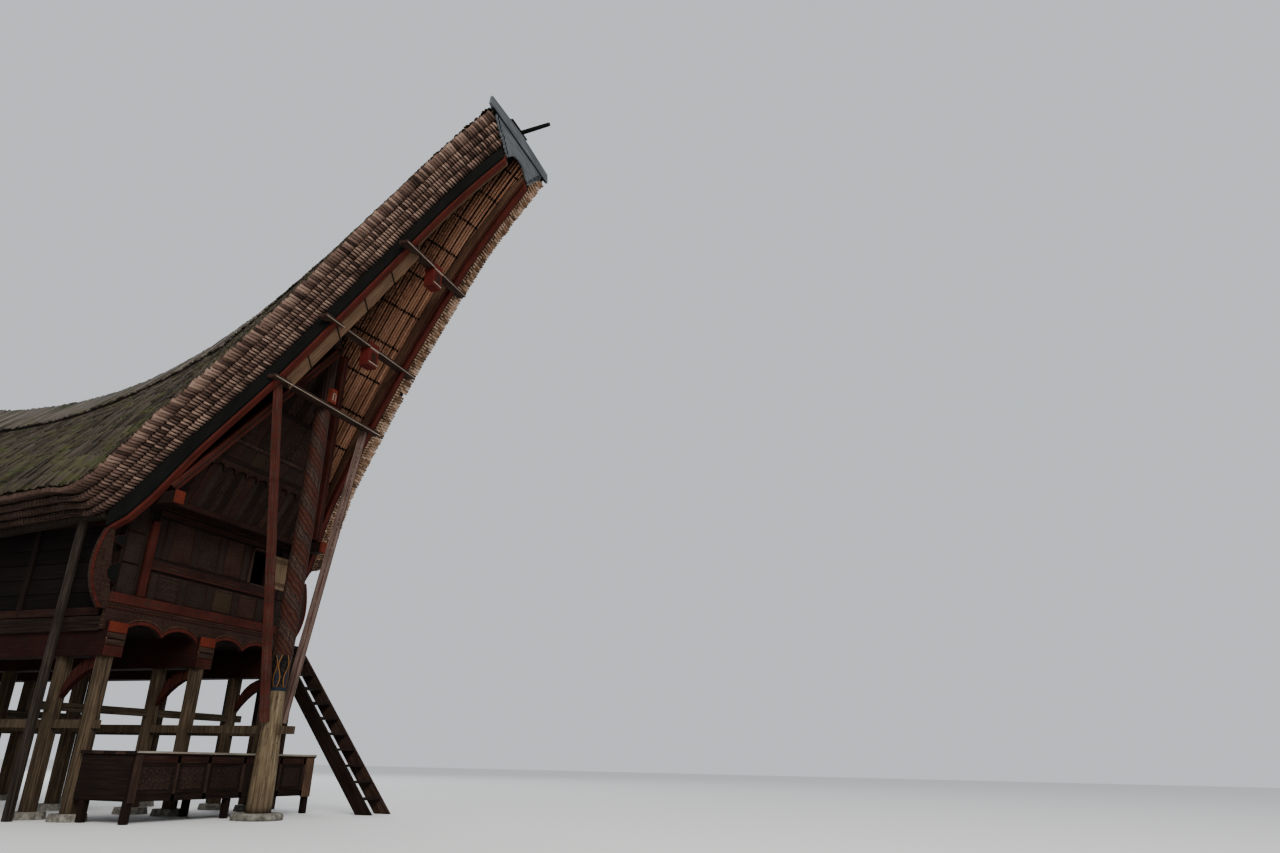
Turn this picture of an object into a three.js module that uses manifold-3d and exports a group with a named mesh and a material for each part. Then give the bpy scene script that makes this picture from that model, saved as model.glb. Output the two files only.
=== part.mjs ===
// A tongkonan: a wooden house on posts under a thick saddle roof of layered bamboo.
// Millimetres, +Z up, ground at z = 0, the house's centre at the origin, its front towards -Y.
// "out" is always the distance from the house's middle along Y, so that the front (out to -Y)
// and the rear (out to +Y) are made from the same numbers.
import * as THREE from 'three';
import { mergeVertices } from 'three/addons/utils/BufferGeometryUtils.js';
import Module from 'manifold-3d';

const wasm = await Module();
wasm.setup();

// Driving dimensions
const GAP = 0.3; // between pieces that touch
const HOUSE_HALF_WIDTH = 1950;
const HOUSE_HALF_LENGTH = 5230;
const WALL = 70;

const POST_COLUMNS = [-1800, 0, 1800];
const POST_ROWS = [-5250, -4450, -2700, -900, 900, 2700, 4450, 5250];
const CROSS_TIE_ROWS = [-4450, -900, 900, 4450];
const POST_RADIUS = 120;
const POST_SIDES = 8;
const POST_FACE = POST_RADIUS * Math.cos(Math.PI / POST_SIDES); // from a post's middle to its flat side
const STONE = { radius: 260, height: 100 };
const TIE = { width: 100, bottom: 1250, top: 1370 };
const CROSS_TIE = { width: 100, bottom: 1500, top: 1620, halfLength: 2060 };
const BEAM = { width: 320, bottom: 2280, top: 2780, halfLength: 5380 };
const FLOOR = { top: 2860, rim: 60, rimBottom: 2640 };
const SILL = { depth: 70, top: 3230, cusp: 2660, crown: 2810, overBeam: 2790 };
const CRESCENT = { thickness: 60, top: 4150 };

const WALL_TOP = 4860;
const UPPER_BEAM = { bottom: 4690, top: 4840, proud: 60, halfLength: 2000 };
const PLATE_END = { inner: 1700, outer: 1860, bottom: 4630, top: 4830, out: 6020 };
const GABLE_RAFTER = { footX: 1780, footOut: 5800, footZ: 4900, apexOut: 7300, apexZ: 8100, halfWidth: 50,
  halfHeight: 150 };
const GABLE_LEAN = 250; // how far the gable leans out over its height
const GABLE_HEIGHT = 4200;
const WINDOW = { left: 820, right: 1240, bottom: 3900, top: 4520 };
const SHUTTER = { left: 1250, width: 500, thickness: 35 };
const DOOR = { near: 4360, far: 5060, bottom: 2970, top: 4260, leaf: 40 };

// The lower edge of the roof from the middle of the eave to the tip: out, half width, height
const EDGE_STATIONS = [
  [0, 2400, 4120],
  [2600, 2395, 4200],
  [4600, 2350, 4350],
  [5230, 2320, 4440],
  [5990, 1860, 5690],
  [6950, 1450, 7010],
  [7990, 1110, 8460],
  [9140, 810, 9980],
  [9780, 680, 10720],
  [10550, 520, 11500],
];
// The top of the ridge: out, height
const RIDGE_STATIONS = [
  [0, 7600],
  [2000, 7760],
  [3800, 8330],
  [5160, 9080],
  [6030, 9680],
  [7150, 10560],
  [8000, 11280],
  [8800, 11830],
  [9600, 12210],
  [10550, 12400],
];
const ROOF_OUTS = [0, 1000, 2000, 3000, 4000, 4700, 5100, 5230, 5450, 5800, 6200, 6700, 7200, 7700, 8200, 8700,
  9200, 9700, 10150, 10550];
const ROOF_END = 10550;
const ROOF_THICKNESS = { middle: 780, tip: 600, taperFrom: 8000 };
const LAYERS = 4; // bamboo layers that step out over each other at the edge
const LAYER_STEP = 125;
const LAYER_RISE = 82;
const TOP_LAYER_EDGE = 120;
const ROOF_BULGE = 90;
const CAP_SHARE = 0.3; // how far down the slope the ridge cover reaches
const CAP_THICKNESS = 90;

const VERGE = { start: 5236, end: 10540, legWidth: 60, legDepth: 190, faceWidth: 150, faceDepth: 150 };
const COLLARS = [
  { out: 7100, height: 6880, halfLength: 1480 },
  { out: 7830, height: 7970, halfLength: 1360, block: true },
  { out: 9000, height: 9420, halfLength: 1020, block: true },
];
const COLLAR = { depth: 180, thickness: 50 };
const COLLAR_BLOCK = { halfWidth: 130, depth: 200, below: 400, above: 50 };

const TIP_BOARD = { thickness: 40, lap: 12, joint: 11860, top: 12110, endTop: 12040, endBottom: 11850,
  halfLength: 1210 };
const TIP_POLE = { radius: 45, length: 620, slope: 0.1 };

const FRONT_POST_OUT = 7000;
const FRONT_POST_PROFILE = [[190, 100], [185, 500], [170, 1000], [145, 1500], [125, 1900], [130, 1960], [155, 2500],
  [160, 3000], [153, 4500], [140, 6300], [130, 7100], [115, 10400]];
const FRONT_STONE = { radius: 380, height: 100 };
const POST_BLOCK = { halfWidth: 75, back: 7090, front: 7195, bottom: 6930, top: 7200 };
const STRUT = { out: 7010, depth: 100, width: 125, footX: 200, footZ: 1420, headX: 1210 };

const EAVE = { inner: 2210, outer: 2330, below: 60, end: 5150, poleX: 2270, poleRadius: 70 };
const LEFT_POLE_ROWS = [-4700, 4700];
const RIGHT_POLE_ROWS = [-3900, 4700];

const STAIR = { inner: 2030, outer: 2640, footOut: 7650, topOut: 5150, topZ: 2960, board: 55, depth: 250,
  treads: 10, treadThickness: 40, treadDepth: 250 };
const LANDING = { outer: 2640, near: 4300, thickness: 60, joist: 80, joistDepth: 120, legRadius: 50 };
const BENCH = { halfLength: 1900, front: 6400, top: 950, topThickness: 45, overhang: 30, panelBottom: 290, panel: 40,
  leg: 90, legInset: 220 };

const COLOURS = {
  bambooTop: { color: 0x4d443b, roughness: 0.95 },
  bambooPale: { color: 0x8c8173, roughness: 0.95 },
  postWood: { color: 0x7d6a55, roughness: 0.85 },
  carvedWood: { color: 0x5a2f24, roughness: 0.7 },
  redWood: { color: 0x8a3a28, roughness: 0.65 },
  blackWood: { color: 0x24262a, roughness: 0.6 },
  darkPlank: { color: 0x3c2a22, roughness: 0.8 },
  greyPlank: { color: 0x8d9094, roughness: 0.8 },
  creamWood: { color: 0xc9b08a, roughness: 0.75 },
};

// Small tools

// A smooth curve through a table's rows, read at one place, column by column
function readTable(rows, place, column) {
  const last = rows.length - 1;
  const slope = (i) => {
    const a = rows[Math.max(i - 1, 0)];
    const b = rows[Math.min(i + 1, last)];
    return (b[column] - a[column]) / (b[0] - a[0]);
  };
  let i = 0;
  while (i < last - 1 && place > rows[i + 1][0]) i += 1;
  const span = rows[i + 1][0] - rows[i][0];
  const t = (place - rows[i][0]) / span;
  const rise = rows[i + 1][column] - rows[i][column];
  const m0 = (i === 0 ? 0 : slope(i)) * span;
  const m1 = slope(i + 1) * span;
  return rows[i][column] + m0 * t + (3 * rise - 2 * m0 - m1) * t * t + (m0 + m1 - 2 * rise) * t * t * t;
}

function toSolid(geometry) {
  const bare = geometry.clone();
  bare.deleteAttribute('normal');
  bare.deleteAttribute('uv');
  const merged = mergeVertices(bare, 1e-3);
  return new wasm.Manifold(new wasm.Mesh({
    numProp: 3,
    vertProperties: new Float32Array(merged.attributes.position.array),
    triVerts: new Uint32Array(merged.index.array),
  }));
}

function toGeometry(solid) {
  const mesh = solid.getMesh();
  const geometry = new THREE.BufferGeometry();
  geometry.setAttribute('position', new THREE.BufferAttribute(new Float32Array(mesh.vertProperties), 3));
  geometry.setIndex(new THREE.BufferAttribute(new Uint32Array(mesh.triVerts), 1));
  return geometry;
}

function join(solids) {
  return solids.reduce((sum, next) => sum.add(next));
}

function box(x0, x1, y0, y1, z0, z1) {
  const geometry = new THREE.BoxGeometry(x1 - x0, y1 - y0, z1 - z0);
  geometry.translate((x0 + x1) / 2, (y0 + y1) / 2, (z0 + z1) / 2);
  return toSolid(geometry);
}

// An upright round piece, turned so that a flat side faces along X and Y
function upright(x, y, z0, z1, radiusBottom, radiusTop, sides) {
  const geometry = new THREE.CylinderGeometry(radiusTop, radiusBottom, z1 - z0, sides);
  geometry.rotateX(Math.PI / 2);
  geometry.rotateZ(Math.PI / sides);
  geometry.translate(x, y, (z0 + z1) / 2);
  return toSolid(geometry);
}

// An outline in X and Z, from y0 to y1
function acrossY(outline, y0, y1) {
  const shape = new THREE.Shape(outline.map(([x, z]) => new THREE.Vector2(x, z)));
  const geometry = new THREE.ExtrudeGeometry(shape, { depth: y1 - y0, bevelEnabled: false });
  geometry.rotateX(Math.PI / 2);
  geometry.translate(0, y1, 0);
  return toSolid(geometry);
}

// An outline in Y and Z, from x0 to x1
function acrossX(outline, x0, x1) {
  const shape = new THREE.Shape(outline.map(([y, z]) => new THREE.Vector2(y, z)));
  const geometry = new THREE.ExtrudeGeometry(shape, { depth: x1 - x0, bevelEnabled: false });
  geometry.rotateX(Math.PI / 2);
  geometry.rotateZ(Math.PI / 2);
  geometry.translate(x0, 0, 0);
  return toSolid(geometry);
}

// A skin over a row of rings; each ring is a flat outline in X and Z at its own y.
// The skin's diagonals turn round at y = 0, so that its front and rear halves are mirror images.
function loft(stations) {
  const count = stations[0].ring.length;
  const positions = stations.flatMap(({ y, ring }) => ring.flatMap(([x, z]) => [x, y, z]));
  const faces = [];
  for (let i = 0; i < stations.length - 1; i += 1) {
    for (let j = 0; j < count; j += 1) {
      const a = i * count + j;
      const b = i * count + ((j + 1) % count);
      if (stations[i].y + stations[i + 1].y < 0) {
        faces.push([a, b + count, b], [a, a + count, b + count]);
      } else {
        faces.push([a, a + count, b], [a + count, b + count, b]);
      }
    }
  }
  const outline = stations[0].ring.map(([x, z]) => new THREE.Vector2(x, z));
  const turn = Math.sign(THREE.ShapeUtils.area(outline));
  const cap = (station) => {
    const flat = station.ring.map(([x, z]) => new THREE.Vector2(x, z));
    return THREE.ShapeUtils.triangulateShape(flat, []).map(([a, b, c]) => {
      const same = Math.sign(THREE.ShapeUtils.area([flat[a], flat[b], flat[c]])) === turn;
      return same ? [a, b, c] : [a, c, b];
    });
  };
  const last = (stations.length - 1) * count;
  cap(stations[0]).forEach((face) => faces.push(face));
  cap(stations[stations.length - 1]).forEach(([a, b, c]) => faces.push([last + a, last + c, last + b]));
  const geometry = new THREE.BufferGeometry();
  geometry.setAttribute('position', new THREE.Float32BufferAttribute(positions, 3));
  const rising = stations[stations.length - 1].y > stations[0].y;
  geometry.setIndex(faces.flatMap(([a, b, c]) => ((turn > 0) === rising ? [a, b, c] : [a, c, b])));
  return toSolid(geometry);
}

function mirrored(solid, axis) {
  const geometry = toGeometry(solid);
  geometry.scale(axis === 'x' ? -1 : 1, axis === 'y' ? -1 : 1, 1);
  const index = geometry.index.array;
  for (let i = 0; i < index.length; i += 3) {
    const kept = index[i + 1];
    index[i + 1] = index[i + 2];
    index[i + 2] = kept;
  }
  return toSolid(geometry);
}

// The roof's shape

const edgeHalfWidth = (out) => readTable(EDGE_STATIONS, out, 1);
const edgeHeight = (out) => readTable(EDGE_STATIONS, out, 2);
const ridgeHeight = (out) => readTable(RIDGE_STATIONS, out, 1);

function soffitRidge(out) {
  const { middle, tip, taperFrom } = ROOF_THICKNESS;
  const t = Math.max(0, (out - taperFrom) / (ROOF_END - taperFrom));
  return ridgeHeight(out) - middle - (tip - middle) * t;
}

// How much taller a depth measured square to the verge stands when it is measured upright
function uprightFactor(out) {
  const step = 20;
  const slope = (edgeHeight(out + step) - edgeHeight(out - step)) / (2 * step);
  return Math.hypot(1, slope);
}

// The outer slope from the ridge (share 0) to the top layer's edge (share 1)
function slopePoint(out, share) {
  const halfWidth = edgeHalfWidth(out) + LAYERS * LAYER_STEP;
  const low = edgeHeight(out) + LAYERS * LAYER_RISE + TOP_LAYER_EDGE;
  const bulge = ROOF_BULGE * Math.sin(Math.PI * share);
  return [halfWidth * share, ridgeHeight(out) + (low - ridgeHeight(out)) * share + bulge];
}

function layeredEdge(out) {
  const x = edgeHalfWidth(out);
  const z = edgeHeight(out);
  const points = [];
  for (let layer = LAYERS; layer > 0; layer -= 1) {
    points.push([x + layer * LAYER_STEP, z + (layer - 1) * LAYER_RISE]);
    points.push([x + (layer - 1) * LAYER_STEP, z + (layer - 1) * LAYER_RISE]);
  }
  return points;
}

function roofOuts() {
  return [...ROOF_OUTS.slice(1).reverse().map((out) => -out), ...ROOF_OUTS];
}

function makeRoofSlope() {
  const stations = roofOuts().map((y) => {
    const out = Math.abs(y);
    const top = [0, CAP_SHARE, 0.65, 1].map((share) => slopePoint(out, share));
    top[0][0] = GAP / 2;
    return { y, ring: [...top, ...layeredEdge(out), [GAP / 2, soffitRidge(out)]] };
  });
  return loft(stations);
}

// Everything below the underside of the roof, less a fine gap
function makeUnderRoof() {
  const half = loft(roofOuts().map((y) => {
    const out = Math.abs(y);
    const x = edgeHalfWidth(out);
    return { y, ring: [[0, -10], [x, -10], [x, edgeHeight(out) - 2 * GAP], [0, soffitRidge(out) - 2 * GAP]] };
  }));
  return half.add(mirrored(half, 'x'));
}

function makeRidgeCap() {
  const half = loft(roofOuts().map((y) => {
    const out = Math.abs(y);
    const top = slopePoint(out, 0);
    const low = slopePoint(out, CAP_SHARE);
    return { y, ring: [[0, top[1] + 2 * GAP], [low[0], low[1] + 2 * GAP], [low[0], low[1] + CAP_THICKNESS],
      [0, top[1] + CAP_THICKNESS]] };
  }));
  return half.add(mirrored(half, 'x'));
}

// A black side board and a red face board in one angle, along the right side of the front verge
function makeVergeBoard(underRoof) {
  const { start, end, legWidth, legDepth, faceWidth, faceDepth } = VERGE;
  const outs = [start, ...ROOF_OUTS.filter((out) => out > start && out < end), end];
  const board = loft(outs.map((out) => {
    const x = edgeHalfWidth(out) - GAP;
    const z = edgeHeight(out);
    const tall = uprightFactor(out);
    const top = z + 450;
    return { y: -out, ring: [[x, top], [x, z - legDepth * tall], [x - legWidth, z - legDepth * tall],
      [x - legWidth, z - faceDepth * tall], [x - faceWidth, z - faceDepth * tall], [x - faceWidth, top]] };
  }));
  return board.intersect(underRoof);
}

// Collar planks, the front post and its struts

function collarPlank({ out, height, halfLength, block }, room) {
  const plank = box(-halfLength - room, halfLength + room, -out - COLLAR.depth / 2 - room,
    -out + COLLAR.depth / 2 + room, height - COLLAR.thickness - room, height + room);
  if (!block || room > 0) return plank;
  const { halfWidth, depth, below, above } = COLLAR_BLOCK;
  return plank.add(box(-halfWidth, halfWidth, -out - depth / 2, -out + depth / 2, height - below, height + above));
}

function frontPostBody(room) {
  const profile = FRONT_POST_PROFILE.map(([radius, z]) => new THREE.Vector2(radius + room, z));
  const first = FRONT_POST_PROFILE[0][1];
  const last = FRONT_POST_PROFILE[FRONT_POST_PROFILE.length - 1][1];
  const outline = [new THREE.Vector2(0, first), ...profile, new THREE.Vector2(0, last)];
  const geometry = new THREE.LatheGeometry(outline, 14);
  geometry.rotateX(Math.PI / 2);
  geometry.translate(0, -FRONT_POST_OUT, 0);
  return toSolid(geometry);
}

function makeFrontPost(underRoof) {
  const { halfWidth, back, front, bottom, top } = POST_BLOCK;
  const block = box(-halfWidth, halfWidth, -front, -back, bottom, top);
  const stone = upright(0, -FRONT_POST_OUT, 0, FRONT_STONE.height + 1, FRONT_STONE.radius, FRONT_STONE.radius, 20);
  const tieSlot = box(-TIE.width / 2 - GAP, TIE.width / 2 + GAP, -FRONT_POST_OUT - 500, -FRONT_POST_OUT + 500,
    TIE.bottom - GAP, TIE.top + GAP);
  return join([frontPostBody(0), block, stone])
    .subtract(tieSlot)
    .subtract(collarPlank(COLLARS[0], GAP))
    .intersect(underRoof);
}

// Two red rafters that stand on the plate ends and meet in front of the gable post
function makeGableRafters() {
  const { footX, footOut, footZ, apexOut, apexZ, halfWidth, halfHeight } = GABLE_RAFTER;
  const ring = (x, z) => [[x - halfWidth, z - halfHeight], [x + halfWidth, z - halfHeight],
    [x + halfWidth, z + halfHeight], [x - halfWidth, z + halfHeight]];
  const rafter = loft([{ y: -apexOut, ring: ring(0, apexZ) }, { y: -footOut, ring: ring(footX, footZ) }]);
  const trim = box(-2500, 2500, -9000, 0, PLATE_END.top + GAP, 9000);
  return join([rafter, mirrored(rafter, 'x')]).intersect(trim).subtract(frontPostBody(GAP));
}

function makeStrut() {
  const { out, depth, width, footX, footZ, headX } = STRUT;
  const headZ = COLLARS[0].height - COLLAR.thickness;
  const lean = new THREE.Vector2(headX - footX, headZ - footZ).normalize();
  const across = [lean.y * width / 2, -lean.x * width / 2];
  const reach = 200;
  const foot = [footX - lean.x * reach, footZ - lean.y * reach];
  const head = [headX + lean.x * reach, headZ + lean.y * reach];
  const outline = [
    [foot[0] - across[0], foot[1] - across[1]],
    [foot[0] + across[0], foot[1] + across[1]],
    [head[0] + across[0], head[1] + across[1]],
    [head[0] - across[0], head[1] - across[1]],
  ];
  const trim = box(0, 2500, -out - depth, -out + depth, footZ, headZ - GAP);
  return acrossY(outline, -out - depth / 2, -out + depth / 2).intersect(trim).subtract(frontPostBody(GAP));
}

// The two grey planks that close the roof's tip, and the dark pole that lies on them
function makeTipBoard() {
  const { thickness, lap, joint, top, endTop, endBottom, halfLength } = TIP_BOARD;
  const upper = [[-halfLength, endBottom], [-halfLength + 60, joint - 20], [halfLength - 60, joint - 20],
    [halfLength, endBottom], [halfLength - 30, endTop], [0, top], [-halfLength + 30, endTop]];
  const lower = [[-960, joint - 10], [-930, 11760], [-800, 11620], [-640, 11500], [-520, 11370], [-460, 11300],
    [460, 11300], [520, 11370], [640, 11500], [800, 11620], [930, 11760], [960, joint - 10]];
  const back = -ROOF_END - GAP;
  const { radius, length, slope } = TIP_POLE;
  const pole = new THREE.CylinderGeometry(radius * 0.85, radius, length, 10);
  pole.translate(0, length / 2, 0);
  pole.rotateX(Math.PI - Math.atan(slope));
  pole.translate(0, -ROOF_END, top + radius - 5);
  const outside = box(-200, 200, back - 2 * length, back, 11000, 14000);
  return join([acrossY(upper, back - thickness - lap, back), acrossY(lower, back - thickness, back),
    toSolid(pole).intersect(outside)]);
}

// The frame under the floor

function makeKneeBracket(x) {
  const curve = new THREE.Shape();
  curve.moveTo(-4570, 1800);
  curve.quadraticCurveTo(-4700, 2230, -5150, 2279);
  curve.lineTo(-5150, 2120);
  curve.quadraticCurveTo(-4800, 2020, -4540, 1640);
  const outline = curve.getPoints(5).map((p) => [p.x, p.y]);
  return acrossX(outline, x - 50, x + 50);
}

function makePostRow(x) {
  const reach = x === 0 ? FRONT_POST_OUT + 420 : 5420;
  const pieces = [box(x - TIE.width / 2, x + TIE.width / 2, -reach, reach, TIE.bottom, TIE.top)];
  POST_ROWS.forEach((y) => {
    pieces.push(upright(x, y, STONE.height - 1, BEAM.bottom - GAP, POST_RADIUS, POST_RADIUS, POST_SIDES));
    pieces.push(upright(x, y, 0, STONE.height, STONE.radius, STONE.radius - 20, 12));
  });
  const bracket = makeKneeBracket(x);
  pieces.push(bracket, mirrored(bracket, 'y'));
  const slots = CROSS_TIE_ROWS.map((y) => crossTie(y, GAP));
  return join(pieces).subtract(join(slots)).intersect(box(-3000, 3000, -9000, 9000, 0, BEAM.bottom - GAP));
}

function crossTie(y, room) {
  const half = CROSS_TIE.width / 2 + room;
  return box(-CROSS_TIE.halfLength, CROSS_TIE.halfLength, y - half, y + half, CROSS_TIE.bottom - room,
    CROSS_TIE.top + room);
}

function makeFloorBeam(x) {
  return box(x - BEAM.width / 2, x + BEAM.width / 2, -BEAM.halfLength, BEAM.halfLength, BEAM.bottom, BEAM.top - GAP);
}

function makeFloor() {
  const outer = HOUSE_HALF_WIDTH + FLOOR.rim;
  const deck = box(-outer, outer, -HOUSE_HALF_LENGTH, HOUSE_HALF_LENGTH, BEAM.top, FLOOR.top);
  const rim = box(HOUSE_HALF_WIDTH, outer, -HOUSE_HALF_LENGTH, HOUSE_HALF_LENGTH, FLOOR.rimBottom, FLOOR.top);
  const beamRoom = box(-1970, 1970, -6000, 6000, 2000, BEAM.top);
  return join([deck, rim, mirrored(rim, 'x')]).subtract(beamRoom);
}

// The crescent board that bulges out at each corner of the house
function makeCrescent() {
  const inner = HOUSE_HALF_WIDTH + FLOOR.rim - 10;
  const shape = new THREE.Shape();
  shape.moveTo(inner, 2960);
  shape.lineTo(inner, 3180);
  shape.quadraticCurveTo(2130, 3600, 2170, CRESCENT.top);
  shape.lineTo(2315, CRESCENT.top);
  shape.quadraticCurveTo(2600, 3420, 2150, 2960);
  const outline = shape.getPoints(7).map((p) => [p.x, p.y]);
  const face = -HOUSE_HALF_LENGTH - GAP;
  return acrossY(outline, face - CRESCENT.thickness, face);
}

// The carved front board, with two arches between each pair of beam ends, and its corner crescents
function makeSill() {
  const outer = HOUSE_HALF_WIDTH + FLOOR.rim;
  const { depth, top, cusp, crown, overBeam } = SILL;
  const beamHalf = BEAM.width / 2 + 4;
  const shape = new THREE.Shape();
  shape.moveTo(-outer, top);
  shape.lineTo(-outer, cusp);
  POST_COLUMNS.forEach((x, i) => {
    shape.lineTo(x - beamHalf, cusp);
    shape.lineTo(x - beamHalf, overBeam);
    shape.lineTo(x + beamHalf, overBeam);
    shape.lineTo(x + beamHalf, cusp);
    if (i === POST_COLUMNS.length - 1) return;
    const span = (POST_COLUMNS[i + 1] - x - 2 * beamHalf) / 2;
    [0, 1].forEach((arch) => {
      const start = x + beamHalf + arch * span;
      shape.bezierCurveTo(start + span * 0.2, crown + 50, start + span * 0.8, crown + 50, start + span, cusp);
    });
  });
  shape.lineTo(outer, cusp);
  shape.lineTo(outer, top);
  const outline = shape.getPoints(7).map((p) => [p.x, p.y]);
  const face = -HOUSE_HALF_LENGTH - GAP;
  const crescent = makeCrescent();
  return join([acrossY(outline, face - depth, face), crescent, mirrored(crescent, 'x')]);
}

// Walls

function makeEndWall() {
  const face = -HOUSE_HALF_LENGTH;
  const wall = box(-HOUSE_HALF_WIDTH + GAP, HOUSE_HALF_WIDTH - GAP, face, face + WALL, FLOOR.top + GAP, WALL_TOP);
  const window = box(WINDOW.left, WINDOW.right, face - 200, face + 200, WINDOW.bottom, WINDOW.top);
  const { bottom, top, proud, halfLength } = UPPER_BEAM;
  const beam = box(-halfLength, halfLength, face - proud, face + 1, bottom, top);
  const plateEnd = box(PLATE_END.inner, PLATE_END.outer, -PLATE_END.out, face + 1, PLATE_END.bottom, PLATE_END.top);
  return join([wall.subtract(window), beam, plateEnd, mirrored(plateEnd, 'x')]);
}

function makeGableWall(underRoof) {
  const foot = HOUSE_HALF_LENGTH;
  const outline = [[-foot, WALL_TOP + GAP], [-foot - GABLE_LEAN, WALL_TOP + GABLE_HEIGHT],
    [-foot - GABLE_LEAN + WALL, WALL_TOP + GABLE_HEIGHT], [-foot + WALL, WALL_TOP + GAP]];
  return acrossX(outline, -2400, 2400).intersect(underRoof);
}

function makeSideWall(underRoof, hasDoor) {
  const end = HOUSE_HALF_LENGTH - WALL - GAP;
  const wall = box(HOUSE_HALF_WIDTH - WALL, HOUSE_HALF_WIDTH - GAP, -end, end, FLOOR.top + GAP, 5600);
  const roofed = wall.intersect(underRoof);
  if (!hasDoor) return roofed;
  return roofed.subtract(box(1500, 2500, -DOOR.far, -DOOR.near, DOOR.bottom, DOOR.top));
}

function makeDoorLeaf() {
  const room = 3;
  const outer = HOUSE_HALF_WIDTH - 10;
  return box(outer - DOOR.leaf, outer, -DOOR.far + room, -DOOR.near - room, DOOR.bottom + GAP, DOOR.top - room);
}

function makeOpenShutter() {
  const { left, width, thickness } = SHUTTER;
  const face = -HOUSE_HALF_LENGTH - GAP;
  return box(left, left + width, face - thickness, face, WINDOW.bottom, WINDOW.top);
}

function makeClosedShutter() {
  const room = 3;
  const outer = -HOUSE_HALF_LENGTH + 10;
  return box(WINDOW.left + room, WINDOW.right - room, outer, outer + SHUTTER.thickness, WINDOW.bottom + GAP,
    WINDOW.top - room);
}

function makeEaveFrame(underRoof, rows) {
  const outs = [0, 1000, 2000, 3000, 4000, 4700, EAVE.end];
  const places = [...outs.slice(1).reverse().map((out) => -out), ...outs];
  const plate = loft(places.map((y) => {
    const z = edgeHeight(Math.abs(y)) - EAVE.below;
    return { y, ring: [[EAVE.inner, z], [EAVE.outer, z], [EAVE.outer, z + 600], [EAVE.inner, z + 600]] };
  })).intersect(underRoof);
  const poles = rows.map((y) => upright(EAVE.poleX, y, 0, edgeHeight(Math.abs(y)), EAVE.poleRadius,
    EAVE.poleRadius, 8));
  return join([plate, ...poles]);
}

// Stair, landing and bench

function makeStair() {
  const { inner, outer, footOut, topOut, topZ, board, depth, treads, treadThickness, treadDepth } = STAIR;
  const run = footOut - topOut;
  const tall = Math.hypot(1, topZ / run) * depth;
  const side = [[-footOut, 0], [-topOut, topZ], [-topOut, topZ - tall], [-footOut + tall * run / topZ, 0]];
  const pieces = [acrossX(side, inner, inner + board), acrossX(side, outer - board, outer)];
  const rise = topZ / (treads + 1);
  for (let i = 1; i <= treads; i += 1) {
    const middle = -footOut + (i * rise + tall * 0.35) * run / topZ;
    pieces.push(box(inner + board - 5, outer - board + 5, middle - treadDepth / 2, middle + treadDepth / 2,
      i * rise - treadThickness, i * rise));
  }
  const trim = box(1500, 3000, -9000, -topOut - GAP, 0, topZ);
  return join(pieces).intersect(trim);
}

function makeLanding() {
  const { outer, near, thickness, joist, joistDepth, legRadius } = LANDING;
  const inner = HOUSE_HALF_WIDTH + FLOOR.rim + GAP;
  const top = STAIR.topZ;
  const far = STAIR.topOut;
  const pieces = [box(inner, outer, -far, -near, top - thickness, top)];
  [-far + joist, -near - joist].forEach((y) => {
    pieces.push(box(inner, outer, y - joist / 2, y + joist / 2, top - thickness - joistDepth, top - thickness + 1));
    pieces.push(upright(outer - 60, y, 0, top - thickness - joistDepth + 1, legRadius, legRadius, 8));
  });
  return join(pieces);
}

function makeBench() {
  const { halfLength, front, top, topThickness, overhang, panelBottom, panel, leg, legInset } = BENCH;
  const rest = -POST_ROWS[0] + POST_FACE + GAP; // the deck's rear edge leans against the posts
  const back = rest + overhang;
  const underside = top - topThickness;
  const outside = box(-halfLength, halfLength, -front, -back, panelBottom, underside + 1);
  const inside = box(-halfLength + panel, halfLength - panel, -front + panel, -back - panel, 0, underside);
  const deck = box(-halfLength - overhang, halfLength + overhang, -front - overhang, -rest, underside, top);
  const pieces = [outside.subtract(inside), deck];
  [-halfLength, -leg / 2, halfLength - leg].forEach((x) => {
    [-front, -back - legInset].forEach((y) => pieces.push(box(x, x + leg, y, y + leg, 0, underside + 1)));
  });
  return join(pieces);
}

// The house

const house = new THREE.Group();

function place(name, solid, look) {
  const material = new THREE.MeshStandardMaterial({ ...COLOURS[look], metalness: 0 });
  const mesh = new THREE.Mesh(toGeometry(solid), material);
  mesh.name = name;
  house.add(mesh);
}

// The same piece at the front and, mirrored, at the rear
function placeEnds(name, solid, look) {
  place(`front_${name}`, solid, look);
  place(`rear_${name}`, mirrored(solid, 'y'), look);
}

function placeSides(name, solid, look) {
  place(`${name}_right`, solid, look);
  place(`${name}_left`, mirrored(solid, 'x'), look);
}

const underRoof = makeUnderRoof();
const collarRoom = join(COLLARS.map((collar) => collarPlank(collar, GAP)));

['left', 'center', 'right'].forEach((side, i) => {
  place(`posts_${side}`, makePostRow(POST_COLUMNS[i]), 'postWood');
  place(`floor_beam_${side}`, makeFloorBeam(POST_COLUMNS[i]), 'redWood');
});
CROSS_TIE_ROWS.forEach((y, i) => place(`cross_tie_${i + 1}`, crossTie(y, 0), 'postWood'));
place('floor', makeFloor(), 'darkPlank');
placeEnds('sill_board', makeSill(), 'carvedWood');
place('front_wall', makeEndWall(), 'carvedWood');
place('rear_wall', mirrored(makeEndWall(), 'y'), 'carvedWood');
place('left_wall', mirrored(makeSideWall(underRoof, false), 'x'), 'darkPlank');
place('right_wall', makeSideWall(underRoof, true), 'darkPlank');
place('side_door', makeDoorLeaf(), 'darkPlank');
place('front_shutter', makeOpenShutter(), 'creamWood');
place('rear_shutter', mirrored(makeClosedShutter(), 'y'), 'carvedWood');
placeEnds('gable_wall', makeGableWall(underRoof), 'carvedWood');

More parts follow.
